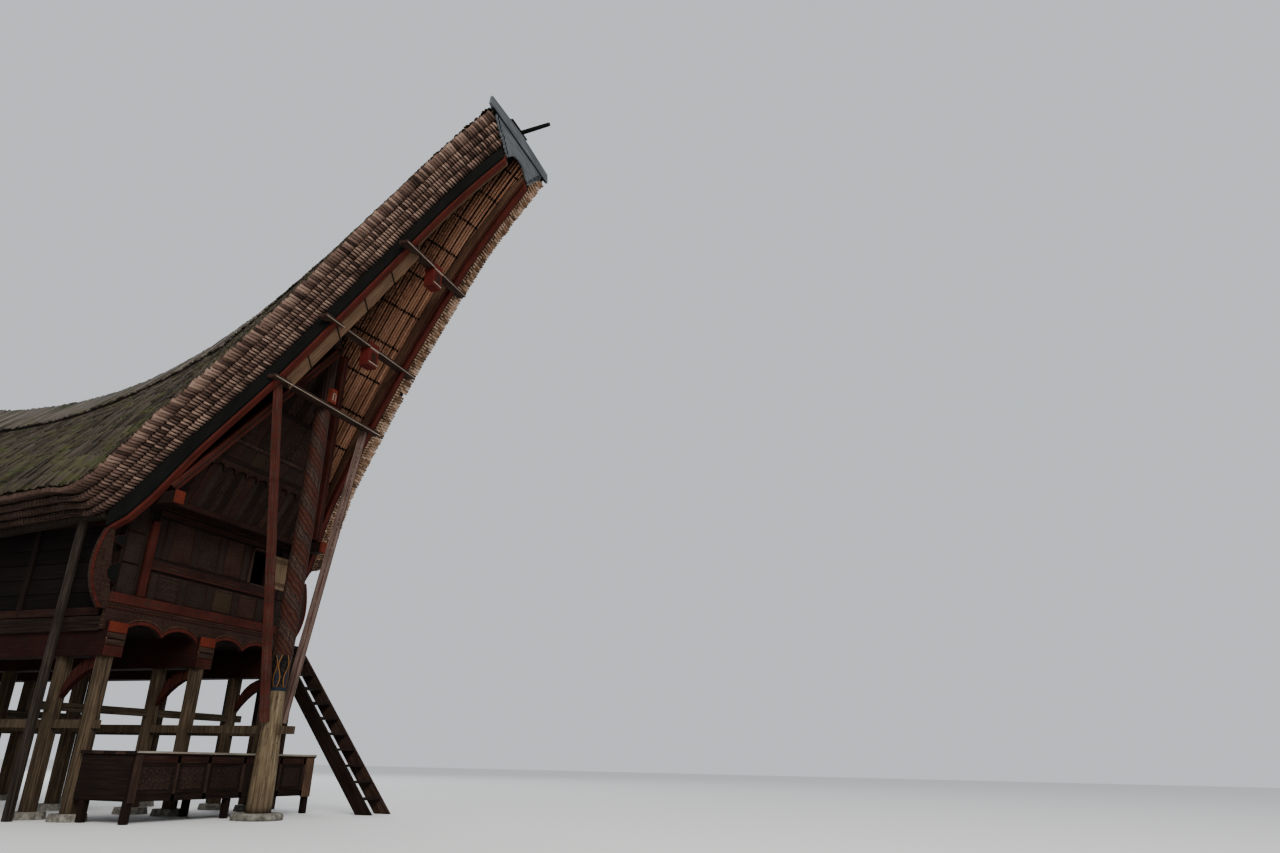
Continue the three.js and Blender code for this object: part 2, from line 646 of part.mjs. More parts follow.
placeSides('roof', makeRoofSlope(), 'bambooTop');
place('ridge_cap', makeRidgeCap(), 'bambooPale');
const vergeBoard = makeVergeBoard(underRoof).subtract(collarRoom);
placeSides('front_verge_board', vergeBoard, 'redWood');
placeSides('rear_verge_board', mirrored(vergeBoard, 'y'), 'redWood');
COLLARS.forEach((collar, i) => placeEnds(`collar_${i + 1}`, collarPlank(collar, 0), 'greyPlank'));
placeEnds('tip_board', makeTipBoard(), 'greyPlank');

placeEnds('gable_post', makeFrontPost(underRoof), 'postWood');
placeEnds('gable_rafters', makeGableRafters(), 'redWood');
const strut = makeStrut();
placeSides('front_strut', strut, 'redWood');
placeSides('rear_strut', mirrored(strut, 'y'), 'redWood');
place('eave_frame_left', mirrored(makeEaveFrame(underRoof, LEFT_POLE_ROWS), 'x'), 'postWood');
place('eave_frame_right', makeEaveFrame(underRoof, RIGHT_POLE_ROWS), 'postWood');
place('side_stair', makeStair(), 'darkPlank');
place('stair_landing', makeLanding(), 'darkPlank');
place('front_bench', makeBench(), 'carvedWood');

export default house;
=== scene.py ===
# %% [markdown]
# The house is a frame of solids first. This cell loads it, so that every plank, strip and
# material below is placed from the real sizes of the solids and never by eye.

# %% Load the frame
import math
import random

import bpy
import bmesh
from mathutils import Matrix, Vector


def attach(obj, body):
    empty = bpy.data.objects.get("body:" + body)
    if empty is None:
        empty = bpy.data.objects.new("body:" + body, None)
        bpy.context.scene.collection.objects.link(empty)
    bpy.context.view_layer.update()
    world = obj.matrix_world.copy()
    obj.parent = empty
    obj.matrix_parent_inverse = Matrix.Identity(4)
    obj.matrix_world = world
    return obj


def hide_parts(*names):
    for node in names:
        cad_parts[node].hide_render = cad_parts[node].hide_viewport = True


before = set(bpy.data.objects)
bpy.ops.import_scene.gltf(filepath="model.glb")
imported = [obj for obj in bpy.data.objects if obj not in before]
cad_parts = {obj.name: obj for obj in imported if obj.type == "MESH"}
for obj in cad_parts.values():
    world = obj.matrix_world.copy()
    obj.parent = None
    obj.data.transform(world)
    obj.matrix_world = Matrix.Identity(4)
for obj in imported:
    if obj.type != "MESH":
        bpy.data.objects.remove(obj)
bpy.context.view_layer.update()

# %% [markdown]
# The camera stands near the ground, to the left and in front of the house, and looks up along
# the overhang. Its place, turn and focal length were worked out from the lines of the real
# house, so the render can be laid over the photograph.

# %% Camera
CAMERA_PLACE = Vector((-12.0, -17.295, 0.918))
CAMERA_YAW = math.radians(19.2)
CAMERA_PITCH = math.radians(21.2)
CAMERA_ROLL = math.radians(-1.2)
FOCAL_PIXELS = 870.0
PICTURE_WIDTH = 1280.0
SENSOR_MM = 36.0


def make_camera():
    """A camera turned by its own right, up and back directions."""
    forward = Vector((math.cos(CAMERA_YAW) * math.cos(CAMERA_PITCH),
                      math.sin(CAMERA_YAW) * math.cos(CAMERA_PITCH), math.sin(CAMERA_PITCH)))
    level = Vector((math.sin(CAMERA_YAW), -math.cos(CAMERA_YAW), 0.0))
    down = forward.cross(level)
    right = math.cos(CAMERA_ROLL) * level + math.sin(CAMERA_ROLL) * down
    down = forward.cross(right)
    data = bpy.data.cameras.new("camera")
    data.sensor_width = SENSOR_MM
    data.lens = SENSOR_MM * FOCAL_PIXELS / PICTURE_WIDTH
    data.clip_end = 500.0
    camera = bpy.data.objects.new("camera", data)
    turn = Matrix((right, -down, -forward)).transposed().to_4x4()
    camera.matrix_world = Matrix.Translation(CAMERA_PLACE) @ turn
    bpy.context.collection.objects.link(camera)
    bpy.context.scene.camera = camera
    return camera


camera = make_camera()
print("lens in mm:", round(camera.data.lens, 2))

# %% [markdown]
# The stage is a plain pale floor under a plain pale sky, with one large soft light from the
# front left and a weaker one from behind, as in a studio.

# %% Stage and light
STAGE_REACH = 90.0
STAGE_HEIGHT = -0.002
STAGE_TONE = (0.74, 0.73, 0.71, 1.0)
SKY_TONE = (0.86, 0.9, 0.96, 1.0)
SKY_STRENGTH = 0.8


def new_shader(name):
    material = bpy.data.materials.new(name)
    material.use_nodes = True
    return material, material.node_tree, material.node_tree.nodes["Principled BSDF"]


def make_stage():
    """The floor is a wide plate whose top lies just under the house's stones."""
    corners = [(-1, -1), (1, -1), (1, 1), (-1, 1)]
    mesh = bpy.data.meshes.new("stage_floor")
    points = [(x * STAGE_REACH, y * STAGE_REACH, STAGE_HEIGHT) for x, y in corners]
    mesh.from_pydata(points, [], [(0, 1, 2, 3)])
    floor = bpy.data.objects.new("stage_floor", mesh)
    bpy.context.collection.objects.link(floor)
    material, _, shader = new_shader("pale_studio_floor")
    shader.inputs["Base Color"].default_value = STAGE_TONE
    shader.inputs["Roughness"].default_value = 0.9
    mesh.materials.append(material)


def make_light(name, place, aim, size, power, tone):
    """A square soft box that looks at a point of the house."""
    data = bpy.data.lights.new(name, "AREA")
    data.size = size
    data.energy = power
    data.color = tone
    light = bpy.data.objects.new(name, data)
    light.location = place
    light.rotation_euler = (Vector(aim) - Vector(place)).to_track_quat("-Z", "Y").to_euler()
    bpy.context.collection.objects.link(light)


make_stage()
make_light("key_light", (-22.0, -24.0, 20.0), (0.0, -6.0, 5.0), 14.0, 9000.0, (1.0, 0.97, 0.92))
make_light("rear_light", (20.0, 22.0, 24.0), (0.0, 2.0, 6.0), 16.0, 6000.0, (0.95, 0.97, 1.0))
world = bpy.data.worlds.new("pale_sky")
world.use_nodes = True
sky = world.node_tree.nodes["Background"].inputs
sky["Color"].default_value = SKY_TONE
sky["Strength"].default_value = SKY_STRENGTH
bpy.context.scene.world = world

# %% [markdown]
# Every material is a small graph of nodes. One function adds a node together with its settings
# and its links. A node's output is held as a value that takes part in sums as a number does, so
# a graph reads like the sum it draws. Colours are sRGB hex codes, as picked from a picture.

# %% Tools for node graphs
def colour(code):
    """An sRGB hex code as the linear values that a shader uses."""
    parts = [int(code[i:i + 2], 16) / 255.0 for i in (0, 2, 4)]
    linear = [c / 12.92 if c <= 0.04045 else ((c + 0.055) / 1.055) ** 2.4 for c in parts]
    return (*linear, 1.0)


def add(tree, kind, sockets=None, **settings):
    """A new node; each socket gets either a value or the output of another node."""
    made = tree.nodes.new(kind)
    for name, value in settings.items():
        setattr(made, name, value)
    for socket, value in (sockets or {}).items():
        value = value.socket if isinstance(value, Value) else value
        if isinstance(value, bpy.types.NodeSocket):
            tree.links.new(value, made.inputs[socket])
        else:
            made.inputs[socket].default_value = value
    return made


class Value:
    """A node's output, with which sums are written as with numbers."""

    def __init__(self, tree, socket):
        self.tree, self.socket = tree, socket

    def calc(self, operation, other=0.0):
        node = add(self.tree, "ShaderNodeMath", {0: self, 1: other}, operation=operation)
        return Value(self.tree, node.outputs[0])

    def __add__(self, other):
        return self.calc("ADD", other)

    def __sub__(self, other):
        return self.calc("SUBTRACT", other)

    def __rsub__(self, other):
        made = add(self.tree, "ShaderNodeMath", {0: other, 1: self}, operation="SUBTRACT")
        return Value(self.tree, made.outputs[0])

    def __mul__(self, other):
        return self.calc("MULTIPLY", other)

    def __truediv__(self, other):
        return self.calc("DIVIDE", other)

    def __gt__(self, other):
        return self.calc("GREATER_THAN", other)

    def __lt__(self, other):
        return self.calc("LESS_THAN", other)

    def __abs__(self):
        return self.calc("ABSOLUTE")

    def step(self, start, end):
        """0 below start, 1 above end, straight between them."""
        sockets = {"Value": self, "From Min": start, "From Max": end}
        return Value(self.tree, add(self.tree, "ShaderNodeMapRange", sockets).outputs[0])


def blend(share, under, over, kind="MIX"):
    """Over laid on under by share; either of them may be a hex code."""
    under, over = (colour(tint) if isinstance(tint, str) else tint for tint in (under, over))
    made = add(share.tree, "ShaderNodeMix", {0: share, 6: under, 7: over}, data_type="RGBA", blend_type=kind)
    return Value(share.tree, made.outputs[2])


def ramp(factor, places, codes):
    """A ramp through three colours."""
    made = add(factor.tree, "ShaderNodeValToRGB", {"Fac": factor})
    elements = made.color_ramp.elements
    elements[0].position, elements[1].position = places[0], places[2]
    elements[0].color, elements[1].color = colour(codes[0]), colour(codes[2])
    elements.new(places[1]).color = colour(codes[1])
    return Value(factor.tree, made.outputs["Color"])


def stretch(place, scale):
    node = add(place.tree, "ShaderNodeMapping", {"Vector": place, "Scale": scale})
    return Value(place.tree, node.outputs[0])


def vector_sum(tree, first, second):
    return Value(tree, add(tree, "ShaderNodeVectorMath", {0: first, 1: second}, operation="ADD").outputs[0])


def vector_scale(tree, vector, scale):
    sockets = {0: vector, "Scale": scale}
    return Value(tree, add(tree, "ShaderNodeVectorMath", sockets, operation="SCALE").outputs[0])


def grain_noise(place, scale, detail=4.0, roughness=0.6):
    sockets = {"Vector": place, "Scale": scale, "Detail": detail, "Roughness": roughness}
    return Value(place.tree, add(place.tree, "ShaderNodeTexNoise", sockets).outputs[0])


def axes(place):
    split = add(place.tree, "ShaderNodeSeparateXYZ", {0: place})
    return [Value(place.tree, split.outputs[i]) for i in range(3)]


def attribute(tree, name):
    return Value(tree, add(tree, "ShaderNodeAttribute", attribute_name=name).outputs["Fac"])


def object_place(tree):
    return Value(tree, add(tree, "ShaderNodeTexCoord").outputs["Object"])


def grain_place(tree):
    """The boards' own coordinates: metres along the grain and across it."""
    return Value(tree, add(tree, "ShaderNodeUVMap", uv_map="grain").outputs["UV"])


DRY_GLOSS = 0.08


def surface(shader, tint, roughness, height, depth_mm):
    """Links colour and bump; depth_mm is the real depth of the relief."""
    bump = add(tint.tree, "ShaderNodeBump",
               {"Height": height, "Distance": depth_mm / 1000.0, "Strength": 1.0})
    tint.tree.links.new(bump.outputs["Normal"], shader.inputs["Normal"])
    tint.tree.links.new(tint.socket, shader.inputs["Base Color"])
    shader.inputs["Roughness"].default_value = roughness
    shader.inputs["Specular IOR Level"].default_value = DRY_GLOSS


# %% [markdown]
# Wood. Old timber shows long dark pores between worn ridges, broad stains, and where it is
# painted, paint that has gone from the high grain. The grain is about 20 mm wide and half a
# metre long, set in real metres.

# %% Wood and bamboo
GRAIN_PER_METRE = (1.6, 46.0)
MOSS_STAIN = "4a4f2c"


def wood(name, tones, along="grain", roughness=0.85, paint=None, cover=0.75, depth_mm=1.6, marks=()):
    """Timber in three tones; along names the grain's direction, marks adds painted masks."""
    material, tree, shader = new_shader(name)
    low, high = GRAIN_PER_METRE
    if along == "grain":
        place, fibre_scale = grain_place(tree), (low, high, 1.0)
    else:
        place, fibre_scale = object_place(tree), tuple(low if axis == along else high for axis in "XYZ")
    fibre = grain_noise(stretch(place, fibre_scale), 1.0, 7.0, 0.65)
    stain = grain_noise(place, 1.7)
    blotch = grain_noise(place, 9.0, 5.0, 0.7)
    tint = ramp(fibre, (0.32, 0.5, 0.68), tones)
    if paint:
        worn = blotch * 0.6 + fibre * 0.5
        tint = blend(1.0 - worn.step(cover - 0.18, cover - 0.08), tint, paint)
    tint = blend(stain.step(0.42, 0.68) * 0.45, tint, tones[0], "MULTIPLY" if paint else "MIX")
    tint = blend(attribute(tree, "shade") * 0.35, tint, tones[0])
    for mark in marks:
        tint = mark(tint, fibre)
    surface(shader, tint, roughness, fibre + blotch * 0.3, depth_mm)
    return material


def bamboo(name, tones, moss=0.0):
    """Split bamboo: each strip has its own shade and fine fibre along it."""
    material, tree, shader = new_shader(name)
    shade = attribute(tree, "shade")
    offset = add(tree, "ShaderNodeCombineXYZ", {"X": shade * 37.0}).outputs[0]
    own = vector_sum(tree, grain_place(tree), offset)
    fibre = grain_noise(stretch(own, (6.0, 220.0, 1.0)), 1.0, 3.0)
    patch = grain_noise(object_place(tree), 1.3, 5.0, 0.65)
    tint = ramp(shade * 0.5 + patch * 0.55, (0.22, 0.45, 0.75), tones)
    tint = blend(fibre.step(0.45, 0.7) * 0.5, tint, tones[0])
    if moss:
        spread = grain_noise(object_place(tree), 2.4, 6.0, 0.7)
        tint = blend(spread.step(0.5, 0.62) * moss, tint, MOSS_STAIN)
    surface(shader, tint, 0.9, fibre, 1.2)
    return material


def sticks_bamboo(name, tones):
    """Long bamboo strips seen from below; a dark joint crosses each about every 400 mm."""
    material, tree, shader = new_shader(name)
    length, shade = attribute(tree, "length"), attribute(tree, "shade")
    row = shade * 91.0
    own = add(tree, "ShaderNodeCombineXYZ", {"X": length * 0.7, "Y": row}).outputs[0]
    streak = grain_noise(Value(tree, own), 1.0, 2.0, 0.5)
    tint = ramp(shade * 0.5 + streak * 0.45, (0.25, 0.5, 0.8), tones)
    turn = (length * 2.5 + row).calc("FRACT")
    tint = blend(turn.step(0.965, 0.985) * 0.45, tint, tones[0])
    surface(shader, tint, 0.85, streak, 1.0)
    return material


# Near black: painted shade, so that the gaps between the strips read dark.
CORE_PAINTED_SHADE = wood("packed_bamboo_core", ("0c0908", "15100d", "1e1814"), "X", 0.95)
# The right edge's copy is lighter than the left's: painted light, for the brighter light on that side.
EDGE_BAMBOO = {"left": bamboo("split_bamboo_edge_left", ("2a1f1a", "604b42", "8a7163")),
               "right": bamboo("split_bamboo_edge_right", ("3e2d22", "866850", "b3957e"))}
ROD_BAMBOO = sticks_bamboo("eave_rods", ("150f0d", "3c2f28", "5c4a3f"))
TOP_BAMBOO = bamboo("weathered_bamboo_shingle", ("15120e", "312a23", "4d453c"), moss=0.5)
RIDGE_BAMBOO = bamboo("grey_ridge_bamboo", ("211d19", "49423c", "6c645c"), moss=0.35)
LINING_BAMBOO = sticks_bamboo("bamboo_lining", ("1a110c", "8a614a", "ab8168"))
CORD = wood("black_palm_fibre_cord", ("0a0807", "110d0b", "1c1613"), "Y", 0.95)
RED_WOOD = wood("red_painted_timber", ("190c09", "2f1b15", "452e25"), paint="431d17", cover=0.72)
DULL_RED = wood("faded_red_timber", ("120a08", "251712", "3a2922"), paint="2f1611", cover=0.66)
ORANGE_RED = wood("orange_red_timber", ("26120d", "46241a", "61392b"), paint="602619", cover=0.78)
BLACK_BOARD = wood("black_painted_fascia", ("080707", "110f0e", "221f1c"), paint="0e0e0d", cover=0.78)
VERGE_RED = wood("red_verge_board", ("190c0a", "361d17", "4e332a"), paint="4b1d16", cover=0.74)
BLOCK_RED = wood("dark_red_block", ("1d0d0a", "341712", "492924"), paint="4b1712", cover=0.8)
DARK_PLANK = wood("dark_aged_plank", ("070404", "100a08", "1d1410"))
BROWN_PLANK = wood("brown_aged_plank", ("0c0706", "1b120e", "2c1f18"))
GREY_PLANK = wood("grey_weathered_plank", ("35373a", "525557", "6c6f71"))
COLLAR_WOOD = wood("weathered_collar_plank", ("1a100c", "30221c", "49382f"))
STRUT_GREY = wood("grey_brown_strut", ("392d27", "63514a", "837167"))
WORN_RED = wood("worn_red_strut", ("221310", "3f2922", "573e36"), paint="482019", cover=0.68)
PALE_EDGE = wood("pale_bare_edge", ("5d5348", "83796d", "a79c8f"))
CREAM_BOARD = wood("cream_new_board", ("544434", "6b5642", "7a6652"), roughness=0.75)
TAN_WOOD = wood("pale_tan_timber", ("2b1f18", "513d2e", "705844"))
LINING_BOARD = wood("brown_lining_board", ("33231b", "5c4334", "785946"))

# %% [markdown]
# Carved boards. Each figure repeats in square cells 60 to 130 mm wide: rings, diamonds, spirals
# or a lattice, cut a few millimetres into the board and painted red, yellow, white and black.
# They are common ornament of such houses, drawn here from sums and not copied.

# %% Carved and painted boards
CARVED_DARK = "150c0a"
CARVED_WORN = "3e3029"
WORN_SHARE = 0.45
RINGS_PER_CELL = 17.0


def figure(across, up, kind):
    """A height from 0 to 1 and a distance from the cell's middle."""
    distance = (across * across + up * up).calc("SQRT")
    if kind == "diamonds":
        distance = abs(across) + abs(up)
    if kind == "lattice":
        distance = abs(across).calc("MAXIMUM", abs(up))
    turn = up.calc("ARCTAN2", across) if kind == "spirals" else 0.0
    wave = (distance * RINGS_PER_CELL + turn).calc("SINE")
    return wave.step(-0.35, 0.35), distance


def carved(name, ground, figure_code, accent, cell, kind, flat="grain"):
    """A board cut with one figure; flat is the plane that carries it."""
    material, tree, shader = new_shader(name)
    place = grain_place(tree) if flat == "grain" else object_place(tree)
    wobble = add(tree, "ShaderNodeTexNoise", {"Vector": place, "Scale": 7.0, "Detail": 2.0}).outputs["Color"]
    bent = vector_sum(tree, place, vector_scale(tree, wobble, cell * 0.5))
    x, y, z = (axis.calc("FRACT") - 0.5 for axis in axes(stretch(bent, (1.0 / cell,) * 3)))
    height, distance = figure(x, y if flat == "grain" else z, kind)
    tint = blend(height, ground, figure_code)
    tint = blend(1.0 - distance.step(0.1, 0.14), tint, accent)
    worn = grain_noise(place, 30.0, 4.0, 0.7) * 0.7 + grain_noise(place, 3.0) * 0.4
    tint = blend(worn.step(0.42, 0.62) * WORN_SHARE, tint, CARVED_WORN)
    tint = blend(attribute(tree, "shade") * 0.4, tint, CARVED_DARK)
    surface(shader, tint, 0.8, height, 5.0)
    return material


CARVED_RINGS = carved("carved_rings_red", "0d0605", "30160f", "382415", 0.085, "rings")
CARVED_DIAMONDS = carved("carved_diamonds_grey", "0e0a09", "271d1a", "332923", 0.07, "diamonds")
CARVED_SPIRALS = carved("carved_spirals_brown", "0a0605", "24150f", "2e2117", 0.11, "spirals")
CARVED_LATTICE = carved("carved_lattice_yellow", "100a07", "352815", "453a24", 0.06, "lattice")
CARVED_FIELD = carved("carved_gable_field", "080404", "1a0e0b", "2a1e13", 0.13, "spirals", "upright")
CARVED_SILL = carved("carved_sill_board", "110706", "2a1510", "3a2c1d", 0.075, "rings", "upright")

# %% [markdown]
# Bare round posts. The same solid
# holds the stones at the feet and the red knee braces, so two masks by place give them theirs.

# %% Posts and stones
STONE_TONES = ("3c3a35", "6b675f", "8f8a80")
STONE_TOP = 0.1005
BRACE_OUT = (4.575, 5.125)
BRACE_FOOT = 1.62


def stone(place, scale):
    return ramp(grain_noise(place, scale, 6.0, 0.7), (0.3, 0.5, 0.7), STONE_TONES)


def stone_feet(tint, fibre):
    place = object_place(tint.tree)
    return blend(axes(place)[2] < STONE_TOP, tint, stone(place, 14.0))


def red_braces(tint, fibre):
    x, y, z = axes(object_place(tint.tree))
    mask = (abs(y) > BRACE_OUT[0]) * (abs(y) < BRACE_OUT[1]) * (z > BRACE_FOOT)
    return blend(mask, tint, ramp(fibre, (0.35, 0.5, 0.7), ("150907", "2e130e", "3a1c14")))


POST_WOOD = wood("weathered_post_timber", ("1e1812", "3e3327", "5b4d3d"), "Z", 0.9, depth_mm=3.0,
                 marks=(stone_feet, red_braces))
TIE_WOOD = wood("weathered_tie_timber", ("1d1812", "3a3127", "53483c"), "X", 0.9)
RIM_WOOD = wood("floor_plank_timber", ("0d0907", "1e1511", "30241d"), "Y", 0.9)
BEAM_WOOD = wood("red_floor_beam", ("0e0605", "1c0f0b", "2c1b15"), "Y", paint="240e0a", cover=0.72)
# Near black: the planks' own dark tone, darkened further with painted shade for the shade under the eaves.
SIDE_WOOD = wood("dark_side_wall", ("060404", "0e0907", "1a120e"), "Y", 0.9)
END_WOOD = wood("dark_carved_backing", ("0c0706", "1a0f0c", "281a14"), "X", 0.85)
POLE_WOOD = wood("grey_pole_timber", ("14100e", "28221d", "3e362f"), "Z", 0.9)

# %% [markdown]
# The roof follows two curves along its length: the lower edge of its lining and its ridge.
# The tables hold places that were measured on the photograph, in metres: distance out from the
# house's middle, then the height or half width there. A smooth curve runs through the rows.

# %% The roof's curves
EDGE_STATIONS = [(0.0, 2.4, 4.12), (2.6, 2.395, 4.2), (4.6, 2.35, 4.35), (5.23, 2.32, 4.44),
                 (5.99, 1.86, 5.69), (6.95, 1.45, 7.01), (7.99, 1.11, 8.46), (9.14, 0.81, 9.98),
                 (9.78, 0.68, 10.72), (10.55, 0.52, 11.5)]
RIDGE_STATIONS = [(0.0, 7.6), (2.0, 7.76), (3.8, 8.33), (5.16, 9.08), (6.03, 9.68), (7.15, 10.56),
                  (8.0, 11.28), (8.8, 11.83), (9.6, 12.21), (10.55, 12.4)]
ROOF_END = 10.55
LAYERS = 4
LAYER_STEP = 0.125
LAYER_RISE = 0.082
TOP_LAYER_EDGE = 0.12
ROOF_BULGE = 0.09
THICK_MIDDLE = 0.78
THICK_TIP = 0.6
TAPER_FROM = 8.0
CAP_SHARE = 0.3
CAP_THICKNESS = 0.09
TIP_SINK = 0.24
TIP_SINK_FROM = 9.2
WALL_OUT = 5.23


def read_table(rows, place, column):
    """The smooth curve through a table's rows, read at one place."""
    last = len(rows) - 1

    def slope(i):
        before, after = rows[max(i - 1, 0)], rows[min(i + 1, last)]
        return (after[column] - before[column]) / (after[0] - before[0])

    i = 0
    while i < last - 1 and place > rows[i + 1][0]:
        i += 1
    width = rows[i + 1][0] - rows[i][0]
    t = (place - rows[i][0]) / width
    rise = rows[i + 1][column] - rows[i][column]
    start = 0.0 if i == 0 else slope(i) * width
    end = slope(i + 1) * width
    bend = (3 * rise - 2 * start - end) * t ** 2
    return rows[i][column] + start * t + bend + (start + end - 2 * rise) * t ** 3


def edge_x(y):
    return read_table(EDGE_STATIONS, abs(y), 1)


def edge_z(y):
    return read_table(EDGE_STATIONS, abs(y), 2)


def ridge_z(y):
    return read_table(RIDGE_STATIONS, abs(y), 1)


def top_z(y):
    """The ridge of the skin, which sinks a little behind the tip boards."""
    past = max(0.0, (abs(y) - TIP_SINK_FROM) / (ROOF_END - TIP_SINK_FROM))
    return ridge_z(y) - TIP_SINK * past ** 2


def soffit_z(y):
    taper = max(0.0, (abs(y) - TAPER_FROM) / (ROOF_END - TAPER_FROM))
    return ridge_z(y) - THICK_MIDDLE - (THICK_TIP - THICK_MIDDLE) * taper


def slope_point(y, share):
    """The outer slope, from the ridge at share 0 to the top layer's edge at share 1."""
    low = edge_z(y) + LAYERS * LAYER_RISE + TOP_LAYER_EDGE
    height = top_z(y) + (low - top_z(y)) * share + ROOF_BULGE * math.sin(math.pi * share)
    return (edge_x(y) + LAYERS * LAYER_STEP) * share, height


def slope_length(y):
    x, z = slope_point(y, 1.0)
    return math.hypot(x, top_z(y) - z)


def lining_length(y):
    return math.hypot(edge_x(y), soffit_z(y) - edge_z(y))


def span(start, end, step):
    """Evenly spaced places from start to end, both included."""
    count = max(1, round(abs(end - start) / step))
    return [start + (end - start) * i / count for i in range(count + 1)]


print("lining, eave to ridge, at the wall and at the tip:", round(lining_length(WALL_OUT), 2),
      round(lining_length(ROOF_END), 2))

# %% [markdown]
# Meshes are made in two ways. A loft joins rings of points into a skin. A board set collects
# many boards as one mesh, and gives each its own grain coordinates in metres, its own shade and
# its own material.

# %% Lofts and boards
BOX_FACES = [(0, 3, 2, 1), (4, 5, 6, 7), (0, 1, 5, 4), (1, 2, 6, 5), (2, 3, 7, 6), (3, 0, 4, 7)]
CUT_FACES = [(0, 1, 2, 3), (7, 6, 5, 4), (0, 4, 5, 1), (1, 5, 6, 2), (2, 6, 7, 3), (3, 7, 4, 0)]


def add_piece(name, mesh, slot, *hidden):
    """Adds a piece to the house; hidden are the solids that it stands for."""
    piece = bpy.data.objects.new(name, mesh)
    bpy.context.collection.objects.link(piece)
    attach(piece, "root")
    if hidden:
        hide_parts(*hidden)
    return piece


def loft(rings):
    """Points and faces of a closed skin over rings that all have the same number of points."""
    count, last = len(rings[0]), len(rings) - 1
    points = [p for ring in rings for p in ring]
    faces = []
    for i in range(last):
        for j in range(count):
            k = (j + 1) % count
            faces.append((i * count + j, i * count + k, (i + 1) * count + k, (i + 1) * count + j))
    faces.append(tuple(reversed(range(count))))
    faces.append(tuple(last * count + j for j in range(count)))
    return points, faces


def tidy_mesh(mesh, bevel=0.0):
    """Turns every face outwards and takes the sharp edges off."""
    work = bmesh.new()
    work.from_mesh(mesh)
    bmesh.ops.recalc_face_normals(work, faces=work.faces)
    if bevel:
        edges = [edge for edge in work.edges if edge.calc_face_angle(0.0) > 0.6]
        bmesh.ops.bevel(work, geom=edges, offset=bevel, segments=1, affect="EDGES", clamp_overlap=True)
    work.to_mesh(mesh)
    work.free()


def closed_mesh(name, points, faces, material=None):
    mesh = bpy.data.meshes.new(name)
    mesh.from_pydata(points, [], faces)
    if material:
        mesh.materials.append(material)
    tidy_mesh(mesh)
    return mesh


class Boards:
    """Many boards in one mesh; boxes and slabs are mirrored to the end of the house that is given."""

    def __init__(self, seed, end_sign=1.0):
        self.materials = []
        self.points, self.faces, self.slots, self.grain, self.shades = [], [], [], [], []
        self.random = random.Random(seed)
        self.end_sign = end_sign

    def add(self, points, faces, material, shade, grain):
        """Any closed shape; grain gives the coordinates of a corner from its number."""
        first = len(self.points)
        if material not in self.materials:
            self.materials.append(material)
        self.points += points
        self.shades += [shade] * len(points)
        for face in faces:
            self.faces.append(tuple(first + i for i in face))
            self.slots.append(self.materials.index(material))
            self.grain += [grain(i) for i in face]

    def solid(self, points, faces, material, along, across, shade=None):
        """Any closed shape whose grain runs along one direction."""
        shade = self.random.random() if shade is None else shade
        shift = self.random.uniform(0.0, 40.0)
        normal = along.cross(across)

        def grain(i):
            offset = points[i] - points[0]
            return offset.dot(along) + shift, offset.dot(across) + 0.7 * offset.dot(normal)

        self.add(points, faces, material, shade, grain)

    def plank(self, start, end, across, depth, material, shade=None):
        """A straight board from start to end; across and depth are its full width and thickness."""
        start, end, across, depth = Vector(start), Vector(end), Vector(across), Vector(depth)
        corners = [(-0.5, -0.5), (0.5, -0.5), (0.5, 0.5), (-0.5, 0.5)]
        points = [middle + across * a + depth * b for middle in (start, end) for a, b in corners]
        self.solid(points, BOX_FACES, material, (end - start).normalized(), across.normalized(), shade)

    def box(self, x0, x1, y0, y1, z0, z1, material, shade=None):
        """A board square to the house; its grain follows its longest side."""
        x0, x1 = sorted((x0, x1))
        y0, y1 = sorted((self.end_sign * y0, self.end_sign * y1))
        sides = [Vector((x1 - x0, 0, 0)), Vector((0, y1 - y0, 0)), Vector((0, 0, z1 - z0))]
        sides.sort(key=lambda side: side.length)
        middle = Vector(((x0 + x1) / 2, (y0 + y1) / 2, (z0 + z1) / 2))
        self.plank(middle - sides[2] / 2, middle + sides[2] / 2, sides[1], sides[0], material, shade)

    def slab(self, outline, y0, y1, material, along=(1, 0, 0), shade=None):
        """An outline in X and Z, from y0 to y1."""
        count = len(outline)
        ys = sorted((self.end_sign * y0, self.end_sign * y1))
        points = [Vector((x, y, z)) for y in ys for x, z in outline]
        faces = [tuple(range(count)), tuple(count + j for j in reversed(range(count)))]
        faces += [(j, (j + 1) % count, count + (j + 1) % count, count + j) for j in range(count)]
        along = Vector(along)
        self.solid(points, faces, material, along, Vector((0, 1, 0)).cross(along), shade)

    def finish(self, name, slot, *hidden, bevel=0.004):
        mesh = bpy.data.meshes.new(name)
        mesh.from_pydata(self.points, [], self.faces)
        for material in self.materials:
            mesh.materials.append(material)
        mesh.polygons.foreach_set("material_index", self.slots)
        layer = mesh.uv_layers.new(name="grain")
        layer.data.foreach_set("uv", [value for pair in self.grain for value in pair])
        shade = mesh.attributes.new("shade", "FLOAT", "POINT")
        shade.data.foreach_set("value", self.shades)
        tidy_mesh(mesh, bevel)
        return add_piece(name, mesh, slot, *hidden)


# %% [markdown]
# The core of each roof slope is the imported bamboo behind the strips that show. It stands for
# the solid slope and lies 20 mm inside it, so that the strips get real depth. It is near black,
# which is painted shade in the gaps between the strips.

# %% Roof cores
CORE_INSET = 0.02
CORE_END = ROOF_END - 0.015
SIDES = (("left", -1.0), ("right", 1.0))
ENDS = (("front", -1.0), ("rear", 1.0))


